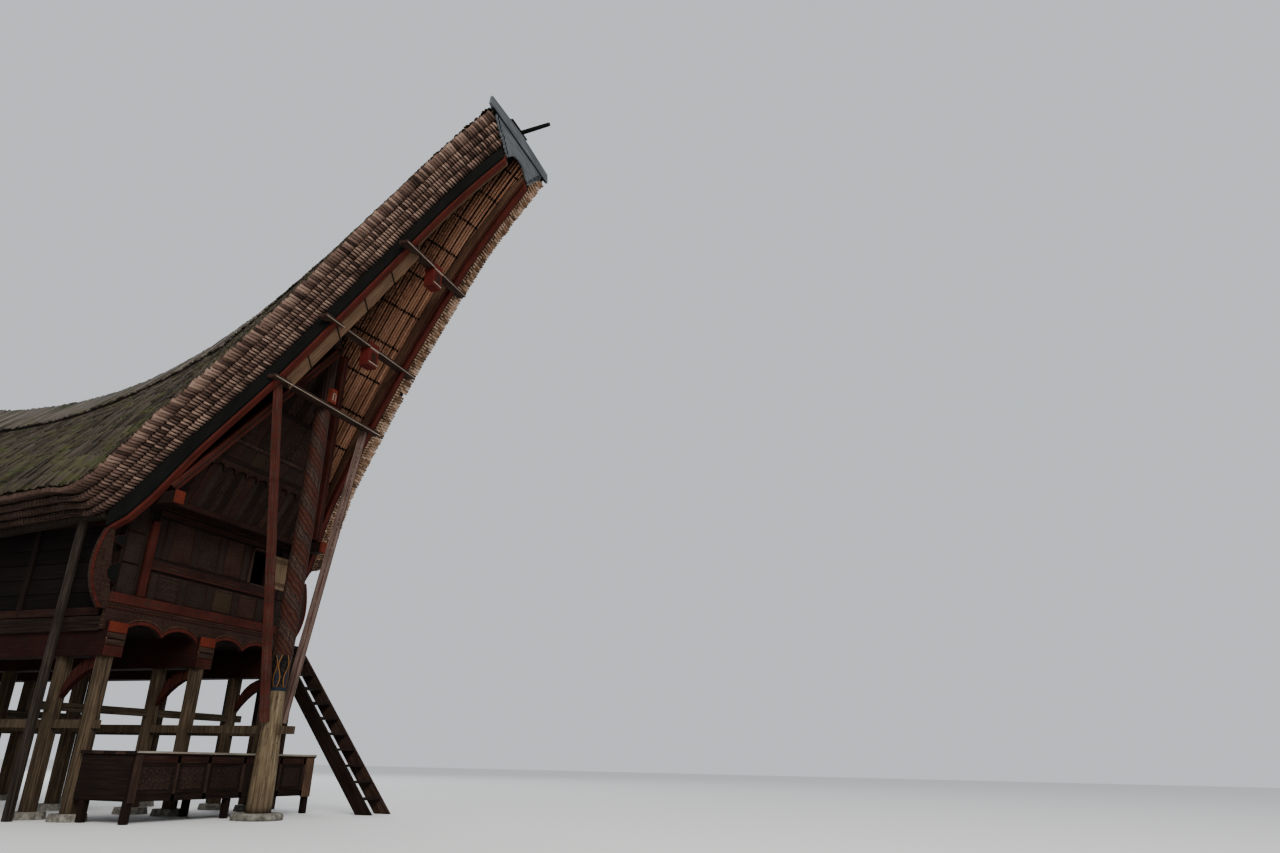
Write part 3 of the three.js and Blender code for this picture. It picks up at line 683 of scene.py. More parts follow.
def roof_ring(y, side):
    x, z = edge_x(y), edge_z(y)
    ring = []
    for share in span(0.0, 1.0, 0.125):
        top = slope_point(y, share)
        ring.append((max(top[0] - CORE_INSET * share, 0.0), top[1] - CORE_INSET))
    for layer in range(LAYERS, 0, -1):
        height = z + (layer - 1) * LAYER_RISE + CORE_INSET * 0.6
        ring.append((x + layer * LAYER_STEP - CORE_INSET, height))
        ring.append((x + (layer - 1) * LAYER_STEP - CORE_INSET, height))
    ring.append((0.0, soffit_z(y) + CORE_INSET))
    return [(side * px, y, pz) for px, pz in ring]


for side_name, side_sign in SIDES:
    core_rings = [roof_ring(y, side_sign) for y in span(-CORE_END, CORE_END, 0.22)]
    core = closed_mesh(f"roof_{side_name}_core", *loft(core_rings), CORE_PAINTED_SHADE)
    add_piece(core.name, core, "bamboo_roof", f"roof_{side_name}")
    print("core:", len(core.polygons), "faces")

# %% [markdown]
# Bamboo strips by the thousand come from two node trees. The first takes lines, and sets a
# strip square to each line at every pitch, with a little random turn, length and shade, and now
# and then a missing one. The second sweeps a round stick along each line.

# %% Node trees for rows and sticks
def start_tree(name, sockets):
    tree = bpy.data.node_groups.new(name, "GeometryNodeTree")
    tree.is_modifier = True
    for socket_name, kind in (("Geometry", "Geometry"), *sockets):
        tree.interface.new_socket(socket_name, in_out="INPUT", socket_type=f"NodeSocket{kind}")
    tree.interface.new_socket("Geometry", in_out="OUTPUT", socket_type="NodeSocketGeometry")
    return tree, add(tree, "NodeGroupInput").outputs


def finish_tree(tree, geometry, material):
    """Makes instances real and gives them their material."""
    real = add(tree, "GeometryNodeRealizeInstances", {"Geometry": geometry}).outputs[0]
    done = add(tree, "GeometryNodeSetMaterial", {"Geometry": real, "Material": material}).outputs[0]
    add(tree, "NodeGroupOutput", {"Geometry": done})
    return tree


def random_value(tree, seed, part, low, high):
    """A random number; part keeps the draws apart."""
    sockets = {2: low, 3: high, 8: Value(tree, seed) + float(part)}
    return Value(tree, add(tree, "FunctionNodeRandomValue", sockets, data_type="FLOAT").outputs[1])


def random_vector(tree, seed, part, reach):
    """A random vector whose parts lie between minus and plus the reach."""
    sockets = {0: (-1.0,) * 3, 1: (1.0,) * 3, 8: Value(tree, seed) + float(part)}
    made = add(tree, "FunctionNodeRandomValue", sockets, data_type="FLOAT_VECTOR").outputs[0]
    return vector_scale(tree, made, reach)


def named(tree, name, kind="FLOAT"):
    return add(tree, "GeometryNodeInputNamedAttribute", {"Name": name}, data_type=kind).outputs[0]


def store(tree, geometry, name, value, domain):
    sockets = {"Geometry": geometry, "Name": name, "Value": value}
    return add(tree, "GeometryNodeStoreNamedAttribute", sockets, data_type="FLOAT", domain=domain).outputs[0]


def make_rows_tree():
    tree, given = start_tree("strips_in_rows", [
        ("Strip", "Object"), ("Pitch", "Float"), ("Turn", "Float"), ("Vary", "Float"), ("Present", "Float"),
        ("Seed", "Int"), ("Material", "Material")])
    seed = given["Seed"]
    curve = add(tree, "GeometryNodeMeshToCurve", {"Mesh": given["Geometry"]}).outputs[0]
    spaced = add(tree, "GeometryNodeResampleCurve", {"Curve": curve, "Length": given["Pitch"]}, mode="LENGTH")
    down = named(tree, "down", "FLOAT_VECTOR")
    tangent = add(tree, "GeometryNodeInputTangent").outputs[0]
    base = add(tree, "FunctionNodeAxesToRotation", {0: down, 1: tangent}, primary_axis="X",
               secondary_axis="Y").outputs[0]
    wobble = random_vector(tree, seed, 1, given["Turn"])
    wobble = add(tree, "FunctionNodeEulerToRotation", {0: wobble}).outputs[0]
    turned = add(tree, "FunctionNodeRotateRotation", {0: base, 1: wobble}, rotation_space="LOCAL").outputs[0]
    size = vector_sum(tree, random_vector(tree, seed, 2, given["Vary"]), (1.0, 1.0, 1.0))
    lengthen = add(tree, "ShaderNodeCombineXYZ", {0: named(tree, "reach"), 1: 1.0, 2: 1.0}).outputs[0]
    size = add(tree, "ShaderNodeVectorMath", {0: size, 1: lengthen}, operation="MULTIPLY").outputs[0]
    present = {0: random_value(tree, seed, 3, 0.0, 1.0), 1: given["Present"]}
    chosen = add(tree, "FunctionNodeCompare", present, operation="LESS_THAN").outputs[0]
    strip = add(tree, "GeometryNodeObjectInfo", {"Object": given["Strip"]}).outputs["Geometry"]
    placed = add(tree, "GeometryNodeInstanceOnPoints", {
        "Points": spaced.outputs[0], "Selection": chosen, "Instance": strip, "Rotation": turned,
        "Scale": size})
    # The line's shade scales each strip's random shade; under the level eave it is low, which is painted
    # shade.
    shade = random_value(tree, seed, 4, 0.0, 2.0) * named(tree, "shade")
    return finish_tree(tree, store(tree, placed.outputs[0], "shade", shade, "INSTANCE"), given["Material"])


def make_sticks_tree():
    tree, given = start_tree("sticks_along_lines", [
        ("Radius", "Float"), ("Sides", "Int"), ("Material", "Material")])
    curve = add(tree, "GeometryNodeMeshToCurve", {"Mesh": given["Geometry"]}).outputs[0]
    length = add(tree, "GeometryNodeSplineParameter").outputs["Length"]
    measured = store(tree, curve, "length", length, "POINT")
    circle = {"Resolution": given["Sides"], "Radius": given["Radius"]}
    ring = add(tree, "GeometryNodeCurvePrimitiveCircle", circle).outputs[0]
    swept = add(tree, "GeometryNodeCurveToMesh",
                {"Curve": measured, "Profile Curve": ring, "Fill Caps": True})
    return finish_tree(tree, swept.outputs[0], given["Material"])


ROWS_TREE = make_rows_tree()
STICKS_TREE = make_sticks_tree()


def grow(name, lines, tree, **settings):
    """Runs a node tree over lines of (point, down, reach, shade) and keeps the result as a piece."""
    rows = [row for line in lines for row in line]
    edges, first = [], 0
    for line in lines:
        edges += [(first + i, first + i + 1) for i in range(len(line) - 1)]
        first += len(line)
    mesh = bpy.data.meshes.new(f"{name}_lines")
    mesh.from_pydata([row[0] for row in rows], edges, [])
    down = mesh.attributes.new("down", "FLOAT_VECTOR", "POINT")
    down.data.foreach_set("vector", [value for row in rows for value in row[1]])
    for label, column in (("reach", 2), ("shade", 3)):
        layer = mesh.attributes.new(label, "FLOAT", "POINT")
        layer.data.foreach_set("value", [row[column] for row in rows])
    holder = bpy.data.objects.new(f"{name}_holder", mesh)
    bpy.context.collection.objects.link(holder)
    modifier = holder.modifiers.new("rows", "NODES")
    modifier.node_group = tree
    for item in tree.interface.items_tree:
        if item.in_out == "INPUT" and item.name in settings:
            modifier[item.identifier] = settings[item.name]
    bpy.context.view_layer.update()
    grown = bpy.data.meshes.new_from_object(holder.evaluated_get(bpy.context.evaluated_depsgraph_get()))
    holder.modifiers.remove(modifier)
    bpy.data.objects.remove(holder)
    grown.name = name
    print(name, sum(len(p.vertices) - 2 for p in grown.polygons), "triangles")
    add_piece(name, grown, "bamboo_roof")


def make_strip(name, length, width, rise, sides=4, body=0.0):
    """A strip along X with its round side down; body is how tall its straight sides are."""
    ring = []
    for i in range(sides + 1):
        angle = math.pi * i / sides
        ring.append((-math.cos(angle) * width / 2, -math.sin(angle) * rise))
    if body:
        ring += [(width / 2, body), (-width / 2, body)]
    count = len(ring)
    points = [(x, y, z) for x in (-length / 2, length / 2) for y, z in ring]
    walls = count if body else count - 1
    faces = [(i, (i + 1) % count, count + (i + 1) % count, count + i) for i in range(walls)]
    faces += [tuple(reversed(range(count))), tuple(range(count, 2 * count))]
    mesh = bpy.data.meshes.new(name)
    mesh.from_pydata(points, [], faces)
    layer = mesh.uv_layers.new(name="grain")
    for loop in mesh.loops:
        x, y, z = mesh.vertices[loop.vertex_index].co
        layer.data[loop.index].uv = (x, y + z)
    tidy_mesh(mesh)
    mesh.polygons.foreach_set("use_smooth", [i < sides for i in range(len(mesh.polygons))])
    return bpy.data.objects.new(name, mesh)


# %% [markdown]
# The edge of the roof is the most telling part of the picture. Four courses of bamboo step out
# over each other by 125 mm, with strips 58 mm apart. Each strip is as tall as its step, so its
# cut end fills the step's front. The topmost course reaches further out and is ragged, and a
# short row hangs over its front. Under the level eave the courses are darkened with painted shade and carry
# thin rods.

# %% Edge courses
EDGE_PITCH = 0.058
EDGE_END = ROOF_END - 0.02
EDGE_LENGTH = LAYER_STEP + 0.012
EDGE_STRIP = make_strip("edge_strip", EDGE_LENGTH, EDGE_PITCH * 0.64, 0.012, 4, 0.062)
RAGGED_STRIP = make_strip("ragged_strip", EDGE_LENGTH, EDGE_PITCH * 0.86, 0.014, 4, 0.05)
HANGING_STRIP = make_strip("hanging_strip", 0.15, EDGE_PITCH * 0.8, 0.014, 3)
RAGGED = 1.65
DROOP = -0.08
EAVE_END = 5.1
EAVE_PAINTED_SHADE = (0.04, 0.5)
ROD_RADIUS = 0.012
ROD_PLACES = ((1.0, 0.004), (1.04, 0.045))


def edge_line(side, along_edge, above, down, reach=1.0, phase=0.0):
    """A line that follows the edge; along_edge and above are its distances out and up."""
    line = []
    dark, full = EAVE_PAINTED_SHADE
    for y in span(-EDGE_END, EDGE_END, 0.1):
        wave = 0.006 * math.sin(y * 3.1 + phase) + 0.004 * math.sin(y * 8.3 + 2 * phase)
        # Under the level eave the strips' shade drops towards the dark end of the ramp: painted shade.
        light = min(full, max(dark, full - (EAVE_END + 0.5 - abs(y))))
        line.append(((side * (edge_x(y) + along_edge + wave), y, edge_z(y) + above), down, reach, light))
    return line if side > 0 else line[::-1]


def eave_rods(side):
    """Thin rods along the level eave, one under each course's front and one at its middle."""
    lines = []
    for layer in range(LAYERS):
        for share, above in ROD_PLACES:
            out, up = (layer + share) * LAYER_STEP, layer * LAYER_RISE
            shade = 0.3 + 0.15 * (layer % 3)
            lines.append([((side * (edge_x(y) + out), y, edge_z(y) + up + above), (0.0, 1.0, 0.0), 1.0, shade)
                          for y in span(-EAVE_END, EAVE_END, 0.25)])
    return lines


for side_name, side_sign in SIDES:
    under = []
    for layer in range(LAYERS):
        last = layer == LAYERS - 1
        reach = RAGGED if last else 1.0
        middle = layer * LAYER_STEP - 0.006 + EDGE_LENGTH * reach / 2
        down = (side_sign, 0.0, DROOP if last else -0.05)
        under.append(edge_line(side_sign, middle, layer * LAYER_RISE + 0.012, down, reach, layer))
    hanging = edge_line(side_sign, LAYERS * LAYER_STEP + 0.004, LAYERS * LAYER_RISE + 0.05,
                        (side_sign * 0.16, 0.0, -1.0))[::-1]
    # The right edge takes the lighter copy, which is painted light.
    tones = EDGE_BAMBOO[side_name]
    grow(f"roof_{side_name}_edge_strips", under[:-1], ROWS_TREE, Strip=EDGE_STRIP, Pitch=EDGE_PITCH,
         Turn=0.022, Vary=0.07, Present=0.995, Seed=3, Material=tones)
    grow(f"roof_{side_name}_edge_ragged", under[-1:], ROWS_TREE, Strip=RAGGED_STRIP, Pitch=EDGE_PITCH,
         Turn=0.03, Vary=0.13, Present=0.99, Seed=4, Material=tones)
    grow(f"roof_{side_name}_eave_rods", eave_rods(side_sign), STICKS_TREE, Radius=ROD_RADIUS, Sides=6,
         Material=ROD_BAMBOO)
    grow(f"roof_{side_name}_edge_hanging", [hanging], ROWS_TREE, Strip=HANGING_STRIP, Pitch=EDGE_PITCH,
         Turn=0.04, Vary=0.16, Present=0.97, Seed=5, Material=TOP_BAMBOO)

# %% [markdown]
# The lining under the overhangs is of long strips that run with the roof, 76 mm apart in groups
# of a few with a wider gap between them, tied by rows of black cord that cross them squarely.
# Each strip is as far from the edge all along, and ends where it meets the ridge. Here and there
# a length of strip is gone. Under the ridge they darken to black: painted shade.

# %% Lining
LINING_PITCH = 0.076
LINING_RADIUS = 0.025
LINING_STEP = 0.3
LINING_INSIDE = 0.62
CORD_SPACING = 0.42
CORD_DROP = 0.048
CORD_STRIDE = 0.1
INSIDE = 5.0
RIDGE_SHADE_SHARE = 0.62
LINING_GAPS = 0.02
GROUP_GAP = 0.028


def lining_place(y, distance, side, drop=0.0):
    """A point on the lining, at a distance up from its edge."""
    share = min(distance / lining_length(y), 1.0)
    normal = Vector((soffit_z(y) - edge_z(y), 0.0, edge_x(y))).normalized()
    x = edge_x(y) * (1.0 - share)
    z = edge_z(y) + (soffit_z(y) - edge_z(y)) * share
    return Vector((side * x, y, z)) - Vector((side * normal.x, 0.0, normal.z)) * drop


def lining_lines(side):
    """The strips low on the lining run through the house, the others stop inside its ends."""
    draw = random.Random(17 if side < 0 else 19)
    lines = []

    def next_length():
        return draw.random(), draw.randint(3, 8), draw.random() > LINING_GAPS

    distance, grouped = 1.5 * LINING_PITCH, 3
    while distance < lining_length(WALL_OUT) - 0.03:
        runs = [(-EDGE_END, -INSIDE), (INSIDE, EDGE_END)]
        if distance < LINING_INSIDE:
            runs = [(-EDGE_END, EDGE_END)]
        for run in runs:
            shade, left, kept = next_length()
            line = []
            for y in span(*run, LINING_STEP):
                if lining_length(y) <= distance + 0.02:
                    continue
                # Within this reach of the ridge the strips darken towards black: painted shade.
                ridge_shade_reach = lining_length(y) * RIDGE_SHADE_SHARE
                ridge_unshaded = min(1.0, max(0.0, (lining_length(y) - distance - ridge_shade_reach * 0.4) / (ridge_shade_reach * 0.6)))
                line.append((lining_place(y, distance + draw.uniform(-0.001, 0.001), side, 0.008),
                             (0.0, 1.0, 0.0), 1.0, (0.5 + 0.5 * shade) * ridge_unshaded))
                left -= 1
                if left == 0 and len(line) > 1:
                    if kept:
                        lines.append(line)
                    line = [line[-1]]
                    shade, left, kept = next_length()
            if len(line) > 1 and kept:
                lines.append(line)
        grouped -= 1
        distance += LINING_PITCH + (GROUP_GAP if grouped == 0 else 0.0)
        grouped = grouped or draw.randint(2, 4)
    return lines


def cord_line(start, side):
    """From the edge up the lining, always square to its strips."""
    y, distance, line = start, 0.03, []
    tiny = 0.01
    while distance < lining_length(y) - 0.04 and abs(y) > INSIDE + 0.2:
        here = lining_place(y, distance, side, CORD_DROP)
        along = (lining_place(y + tiny, distance, side, CORD_DROP) - here) / tiny
        up = (lining_place(y, distance + tiny, side, CORD_DROP) - here) / tiny
        line.append((here, up.normalized() + along.normalized() * 0.6, 1.0, 0.5))
        distance += CORD_STRIDE
        y -= CORD_STRIDE * up.dot(along) / along.dot(along)
    return line


def cord_lines(side):
    starts = [y for out in span(WALL_OUT + 0.5, EDGE_END - 0.1, CORD_SPACING) for y in (-out, out)]
    return [line for line in (cord_line(y, side) for y in starts) if len(line) > 1]


CORD_KNOT = make_strip("cord_knot", 0.075, 0.036, 0.016, 3)
for side_name, side_sign in SIDES:
    grow(f"roof_{side_name}_lining", lining_lines(side_sign), STICKS_TREE, Radius=LINING_RADIUS, Sides=6,
         Material=LINING_BAMBOO)
    grow(f"roof_{side_name}_lashing", cord_lines(side_sign), ROWS_TREE, Strip=CORD_KNOT, Pitch=LINING_PITCH,
         Turn=0.12, Vary=0.12, Present=0.97, Seed=9, Material=CORD)

# %% [markdown]
# The upper side is laid with rows of split bamboo that overlap down the slope like shingles.
# Each row keeps its distance from the edge. The strips lift a little at their lower ends and
# differ in length, as an old roof's do. Strips laid across the ridge cover it.

# %% Upper side
SHINGLE_ROW = 0.36
SHINGLE_START = 0.16
SHINGLE_PITCH = 0.052
RIDGE_PITCH = 0.05
ROW_STEP = 0.12
SHINGLE = make_strip("shingle_strip", 0.56, 0.056, 0.022, 3)
RIDGE_STRIP = make_strip("ridge_strip", 1.0, 0.062, 0.024, 3)


def slope_place(y, distance, side, lift):
    """A point on the outer slope at a distance up from its lower edge, and the way down there."""
    share = max(0.0, 1.0 - distance / slope_length(y))
    x, z = slope_point(y, share)
    next_x, next_z = slope_point(y, min(share + 0.05, 1.05))
    down = Vector((next_x - x, 0.0, next_z - z)).normalized()
    point = Vector((x, 0.0, z)) + Vector((-down.z, 0.0, down.x)) * lift
    return (side * point.x, y, point.z), (side * down.x, 0.0, down.z + 0.03)


def shingle_lines(side):
    """Near the tips a row is split where the slope is shorter than its distance."""
    lines = []
    row = 0
    while row * SHINGLE_ROW + SHINGLE_START < slope_length(0.0):
        distance = row * SHINGLE_ROW + SHINGLE_START
        runs = [[]]
        for y in span(-EDGE_END, EDGE_END, ROW_STEP):
            if slope_length(y) * (1 - CAP_SHARE * 0.6) <= distance:
                continue
            if runs[-1] and y - runs[-1][-1] > 0.2:
                runs.append([])
            runs[-1].append(y)
        for run in runs:
            line = [(*slope_place(y, distance, side, -0.01), 1.0, 0.5) for y in run]
            if len(line) > 1:
                lines.append(line[::-1] if side > 0 else line)
        row += 1
    return lines


def ridge_lines(side):
    """The cover's strips lie on the straight line from the ridge to the cover's lower edge."""
    line = []
    for y in span(-EDGE_END, EDGE_END, ROW_STEP):
        low_x, low_z = slope_point(y, CAP_SHARE)
        middle = (side * low_x / 2, y, (top_z(y) + low_z) / 2 + CAP_THICKNESS - 0.016)
        length = math.hypot(low_x, top_z(y) - low_z)
        line.append((middle, (side * low_x / length, 0.0, (low_z - top_z(y)) / length), length + 0.01, 0.5))
    return [line[::-1] if side > 0 else line]


def ridge_ring(y):
    """The packing under the cover's strips, which stands for the solid cover; its near-black colour is
    painted shade.
    """
    x, z = slope_point(y, CAP_SHARE)
    top, lift = top_z(y), CAP_THICKNESS - 0.03
    return [(-x, y, z - 0.02), (-x, y, z + lift), (0.0, y, top + lift), (x, y, z + lift), (x, y, z - 0.02),
            (0.0, y, top - 0.2)]


for side_name, side_sign in SIDES:
    grow(f"roof_{side_name}_shingles", shingle_lines(side_sign), ROWS_TREE,
         Strip=SHINGLE, Pitch=SHINGLE_PITCH,
         Turn=0.035, Vary=0.14, Present=0.98, Seed=21, Material=TOP_BAMBOO)
    grow(f"ridge_{side_name}_strips", ridge_lines(side_sign), ROWS_TREE, Strip=RIDGE_STRIP, Pitch=RIDGE_PITCH,
         Turn=0.02, Vary=0.04, Present=0.99, Seed=23, Material=RIDGE_BAMBOO)
ridge_rings = [ridge_ring(y) for y in span(-EDGE_END, EDGE_END, 0.3)]
add_piece("ridge_core", closed_mesh("ridge_core", *loft(ridge_rings), CORE_PAINTED_SHADE), "bamboo_roof", "ridge_cap")

# %% [markdown]
# The boards under the edge: a black one on edge, a red one inside it that reaches a little lower,
# and a tan one inside that, which leans, is tied up with black cord and narrows past the last
# collar; on the right it is a shallow worn red one. All are bent, and their grain coordinates
# follow the curve, so no grain line cuts across a board.

# %% Verge boards
VERGE_START = 5.236
VERGE_END = 10.535
TAN_START = 7.15
TAN_END = 9.05
TIE_SPACING = 0.45
INNER_BOARDS = {"left": (0.12, 0.3, 0.2, 0.11, TAN_WOOD), "right": (0.07, 0.24, 0.15, 0.04, WORN_RED)}
TIE_STARTS = {"left": span(TAN_START + 0.3, TAN_END, TIE_SPACING), "right": []}


def edge_tall(out):
    """How tall a board square to the verge is when measured upright."""
    return math.hypot(1.0, (edge_z(out + 0.02) - edge_z(out - 0.02)) / 0.04)


class VergeBoards(Boards):
    """The boards of one verge; inner and outer are measured in from the roof's edge."""

    def __init__(self, seed, side, end_sign):
        super().__init__(seed, end_sign)
        self.side = side

    def bend(self, inner, outer, low, high, material, shade, tilt=0.0, start=VERGE_START, end=VERGE_END):
        """Low and high are square to the slope, a high of None is the lining; tilt drops the inner edge."""
        rings = []
        for out in span(start, end, 0.22):
            tall, x, z = edge_tall(out), edge_x(out), edge_z(out)
            pull = (soffit_z(out) - z) / x
            ring = []
            board_corners = ((outer, low, 0.0), (outer, high, 0.0), (inner, high, tilt), (inner, low, tilt))
            for offset, drop, lean in board_corners:
                height = z + offset * pull * 0.9 - 0.01 if drop is None else z - (drop + lean) * tall
                ring.append(Vector((self.side * (x - offset), self.end_sign * out, height)))
            rings.append(ring)
        length = 0.0
        for i, (ring, following) in enumerate(zip(rings, rings[1:])):
            faces = [(0, 1, 5, 4), (1, 2, 6, 5), (2, 3, 7, 6), (3, 0, 4, 7)]
            if i == 0:
                faces.append((3, 2, 1, 0))
            if i == len(rings) - 2:
                faces.append((4, 5, 6, 7))
            after = length + (following[0] - ring[0]).length
            shift = self.side * 3.0
            coordinates = [(along + shift, across) for along in (length, after)
                           for across in (0.0, 0.28, 0.36, 0.6)]
            self.add(ring + following, faces, material, shade, coordinates.__getitem__)
            length = after

    def tie(self, out):
        """A cord round the leaning board."""
        tall = edge_tall(out)
        height = edge_z(out) - 0.21 * tall
        ends = [(self.side * (edge_x(out) - inwards), self.end_sign * out, height - drop * tall)
                for inwards, drop in ((0.31, 0.125), (0.15, 0.0))]
        self.plank(*ends, (0.0, 0.022, 0.022), (0.0, 0.01, -0.01), CORD)


for end_name, end_sign in ENDS:
    for side_name, side_sign in SIDES:
        lining_low, reach, low, tilt, material = INNER_BOARDS[side_name]
        verge = VergeBoards(31, side_sign, end_sign)
        verge.bend(0.045, 0.0, 0.19, None, BLACK_BOARD, 0.2)
        verge.bend(0.15, 0.045, 0.225, None, VERGE_RED, 0.3)
        verge.bend(0.17, 0.15, lining_low, None, LINING_BOARD, 0.4)
        verge.bend(reach, 0.16, low, low - 0.03, material, 0.3, tilt, TAN_START, TAN_END)
        verge.bend(0.2, 0.16, low, low - 0.03, material, 0.6, 0.02, TAN_END)
        for out in TIE_STARTS[side_name]:
            verge.tie(out)
        verge.finish(f"{end_name}_{side_name}_verge_boards", "red_timber",
                     f"{end_name}_verge_board_{side_name}", bevel=0.0)

# %% [markdown]
# Solids whose shape is right keep it and only get their material, by name.

# %% Materials of the solids that stay
def dress(material, *names):
    for name in names:
        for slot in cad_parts[name].material_slots:
            slot.material = material


dress(POST_WOOD, "posts_left", "posts_center", "posts_right")
dress(TIE_WOOD, "cross_tie_1", "cross_tie_2", "cross_tie_3", "cross_tie_4")
dress(BEAM_WOOD, "floor_beam_left", "floor_beam_center", "floor_beam_right")
dress(RIM_WOOD, "floor")
dress(CARVED_SILL, "front_sill_board", "rear_sill_board")
dress(END_WOOD, "front_wall", "rear_wall", "front_gable_wall", "rear_gable_wall")
dress(SIDE_WOOD, "left_wall", "right_wall", "side_door", "rear_shutter")
dress(POLE_WOOD, "eave_frame_left", "eave_frame_right")
dress(BROWN_PLANK, "front_bench")

# %% [markdown]
# The front. Two rows of carved panels stand between grey stiles, over a red rail. The red
# stiles at the corners run through both rows. The beam above and the gap lines between the
# rows are dark. The figures change from panel to panel, and the rear repeats the front.

# %% Front and rear panels
WALL_FACE = 5.23
ROW_LOW = (3.235, 3.66)
ROW_HIGH = (3.9, 4.555)
LOW_STILES = [-1.23 + 0.605 * i for i in range(5)]
HIGH_STILES = [-1.1 + 0.587 * i for i in range(4)]
STILE_WIDTH = 0.17
CORNER_STILE = (1.37, 1.5)
CORNER_PANEL = (1.56, 1.93)
CORNER_ROWS = ((3.24, 3.7), (3.73, 4.2), (4.23, 4.66))
WINDOW = (0.82, 1.24, 3.9, 4.52)
SHUTTER = (1.25, 1.75)
BEAM_FACE = WALL_FACE + 0.06
PLATE_FACE = 5.99
PANELS = [CARVED_RINGS, CARVED_SPIRALS, CARVED_LATTICE, CARVED_DIAMONDS]


def wall_board(boards, x0, x1, z0, z1, proud, material, thick=0.03):
    """A board on the end wall's face; proud is how far its face stands out from the wall."""
    boards.box(x0, x1, WALL_FACE + proud - thick, WALL_FACE + proud, z0, z1, material)


def panel_row(boards, stiles, row, limits, order):
    """Carved panels between stiles; a moulding stands out along each panel's sides."""
    low, high = row
    half = STILE_WIDTH / 2
    edges = [limits[0], *(x for stile in stiles for x in (stile - half, stile + half)), limits[1]]
    for stile in stiles:
        wall_board(boards, stile - half, stile + half, low, high, 0.022, CARVED_DIAMONDS)
        for side in (-1, 1):
            x = stile + side * (half - 0.012)
            wall_board(boards, x - 0.011, x + 0.011, low, high, 0.03, DULL_RED)
    for i, (x0, x1) in enumerate(zip(edges[::2], edges[1::2])):
        if x1 - x0 < 0.06:
            continue
        wall_board(boards, x0, x1, low, high, 0.012, PANELS[order[i % len(order)]])
        if x1 - x0 > 0.25:
            for z, material in ((low + 0.03, DULL_RED), (high - 0.03, COLLAR_WOOD)):
                wall_board(boards, x0, x1, z - 0.014, z + 0.014, 0.02, material)


def end_panels(end_name, end_sign):
    boards = Boards(41, end_sign)
    reach = CORNER_STILE[0]
    left, right, low, high = WINDOW
    panel_row(boards, LOW_STILES, ROW_LOW, (-reach, reach), [3, 1, 3, 2, 0, 1])
    panel_row(boards, HIGH_STILES, ROW_HIGH, (-reach, left), [3, 0, 1, 0, 3])
    wall_board(boards, right + 0.01, reach, *ROW_HIGH, 0.0095, CARVED_DIAMONDS, 0.01)
    wall_board(boards, -reach, reach, 3.7, 3.885, 0.035, DULL_RED)
    wall_board(boards, -reach, reach, 3.705, 3.73, 0.042, RED_WOOD)
    wall_board(boards, -reach, reach, 3.855, 3.88, 0.042, BROWN_PLANK)
    under_shutter = 3.88 if end_sign < 0 else 4.47
    for x0, x1, top in ((-CORNER_STILE[1], -CORNER_STILE[0], 4.47), (*CORNER_STILE, under_shutter)):
        wall_board(boards, x0, x1, 3.24, top, 0.06, VERGE_RED, 0.06)
    for side in (-1, 1):
        xs = sorted((side * CORNER_PANEL[0], side * CORNER_PANEL[1]))
        for z0, z1 in CORNER_ROWS:
            wall_board(boards, *xs, z0, z1, 0.02, CARVED_DIAMONDS)
        for x in xs:
            wall_board(boards, x - 0.025, x + 0.025, 3.235, 4.68, 0.04, BROWN_PLANK)
    boards.box(-1.69, 1.69, BEAM_FACE, BEAM_FACE + 0.012, 4.72, 4.81, DULL_RED)
    for z in (4.7, 4.822):
        boards.box(-1.69, 1.69, BEAM_FACE, BEAM_FACE + 0.02, z, z + 0.016, COLLAR_WOOD)
    wall_board(boards, -reach, reach, 4.6, 4.685, 0.03, DULL_RED)
    for side in (-1, 1):
        boards.box(side * 1.695, side * 1.865, PLATE_FACE, PLATE_FACE + 0.042, 4.625, 4.835, ORANGE_RED)
    for x1, z0, z1 in ((left, low - 0.03, high + 0.03), (right, low - 0.05, low), (right, high, high + 0.04)):
        wall_board(boards, left - 0.05, x1, z0, z1, 0.045, COLLAR_WOOD)
    boards.finish(f"{end_name}_carved_panels", "carved_board")


for end_name, end_sign in ENDS:
    end_panels(end_name, end_sign)

# %% [markdown]
# The arched board over the beam ends. Each arch has a red edge about 50 mm wide, with
# a red rail above, and the crescents at the corners have the same edge. The curves are the
# solid's own, drawn again from the same numbers.

# %% Arches, crescents and beam ends
BEAM_PLACES = (-1.8, 0.0, 1.8)
BEAM_HALF = 0.164
BEAM_END_FACE = 5.375
BEAM_BANDS = ((2.63, 2.785, ORANGE_RED), (2.44, 2.62, COLLAR_WOOD), (2.275, 2.43, RED_WOOD))
ARCH_CUSP = 2.66
ARCH_CONTROL = 2.86
SILL_FACE = 5.3003
CRESCENT_FACE = 5.2903
CRESCENT = [(2.15, 2.96), (2.6, 3.42), (2.315, 4.15)]
CRESCENT_SHADE_LENSES = ((3.33, 3.7), (3.92, 4.12))


def bezier(a, b, c, d, count):
    points = []
    for i in range(count + 1):
        t = i / count
        weights = ((1 - t) ** 3, 3 * t * (1 - t) ** 2, 3 * t * t * (1 - t), t ** 3)
        points.append(tuple(sum(w * p[k] for w, p in zip(weights, (a, b, c, d))) for k in (0, 1)))
    return points


def crescent_curve(count):
    """The curve through the crescent's two tips, bent towards its middle point."""
    a, b, c = CRESCENT
    places = [i / count for i in range(count + 1)]
    return [tuple((1 - t) ** 2 * a[k] + 2 * t * (1 - t) * b[k] + t * t * c[k] for k in (0, 1))
            for t in places]


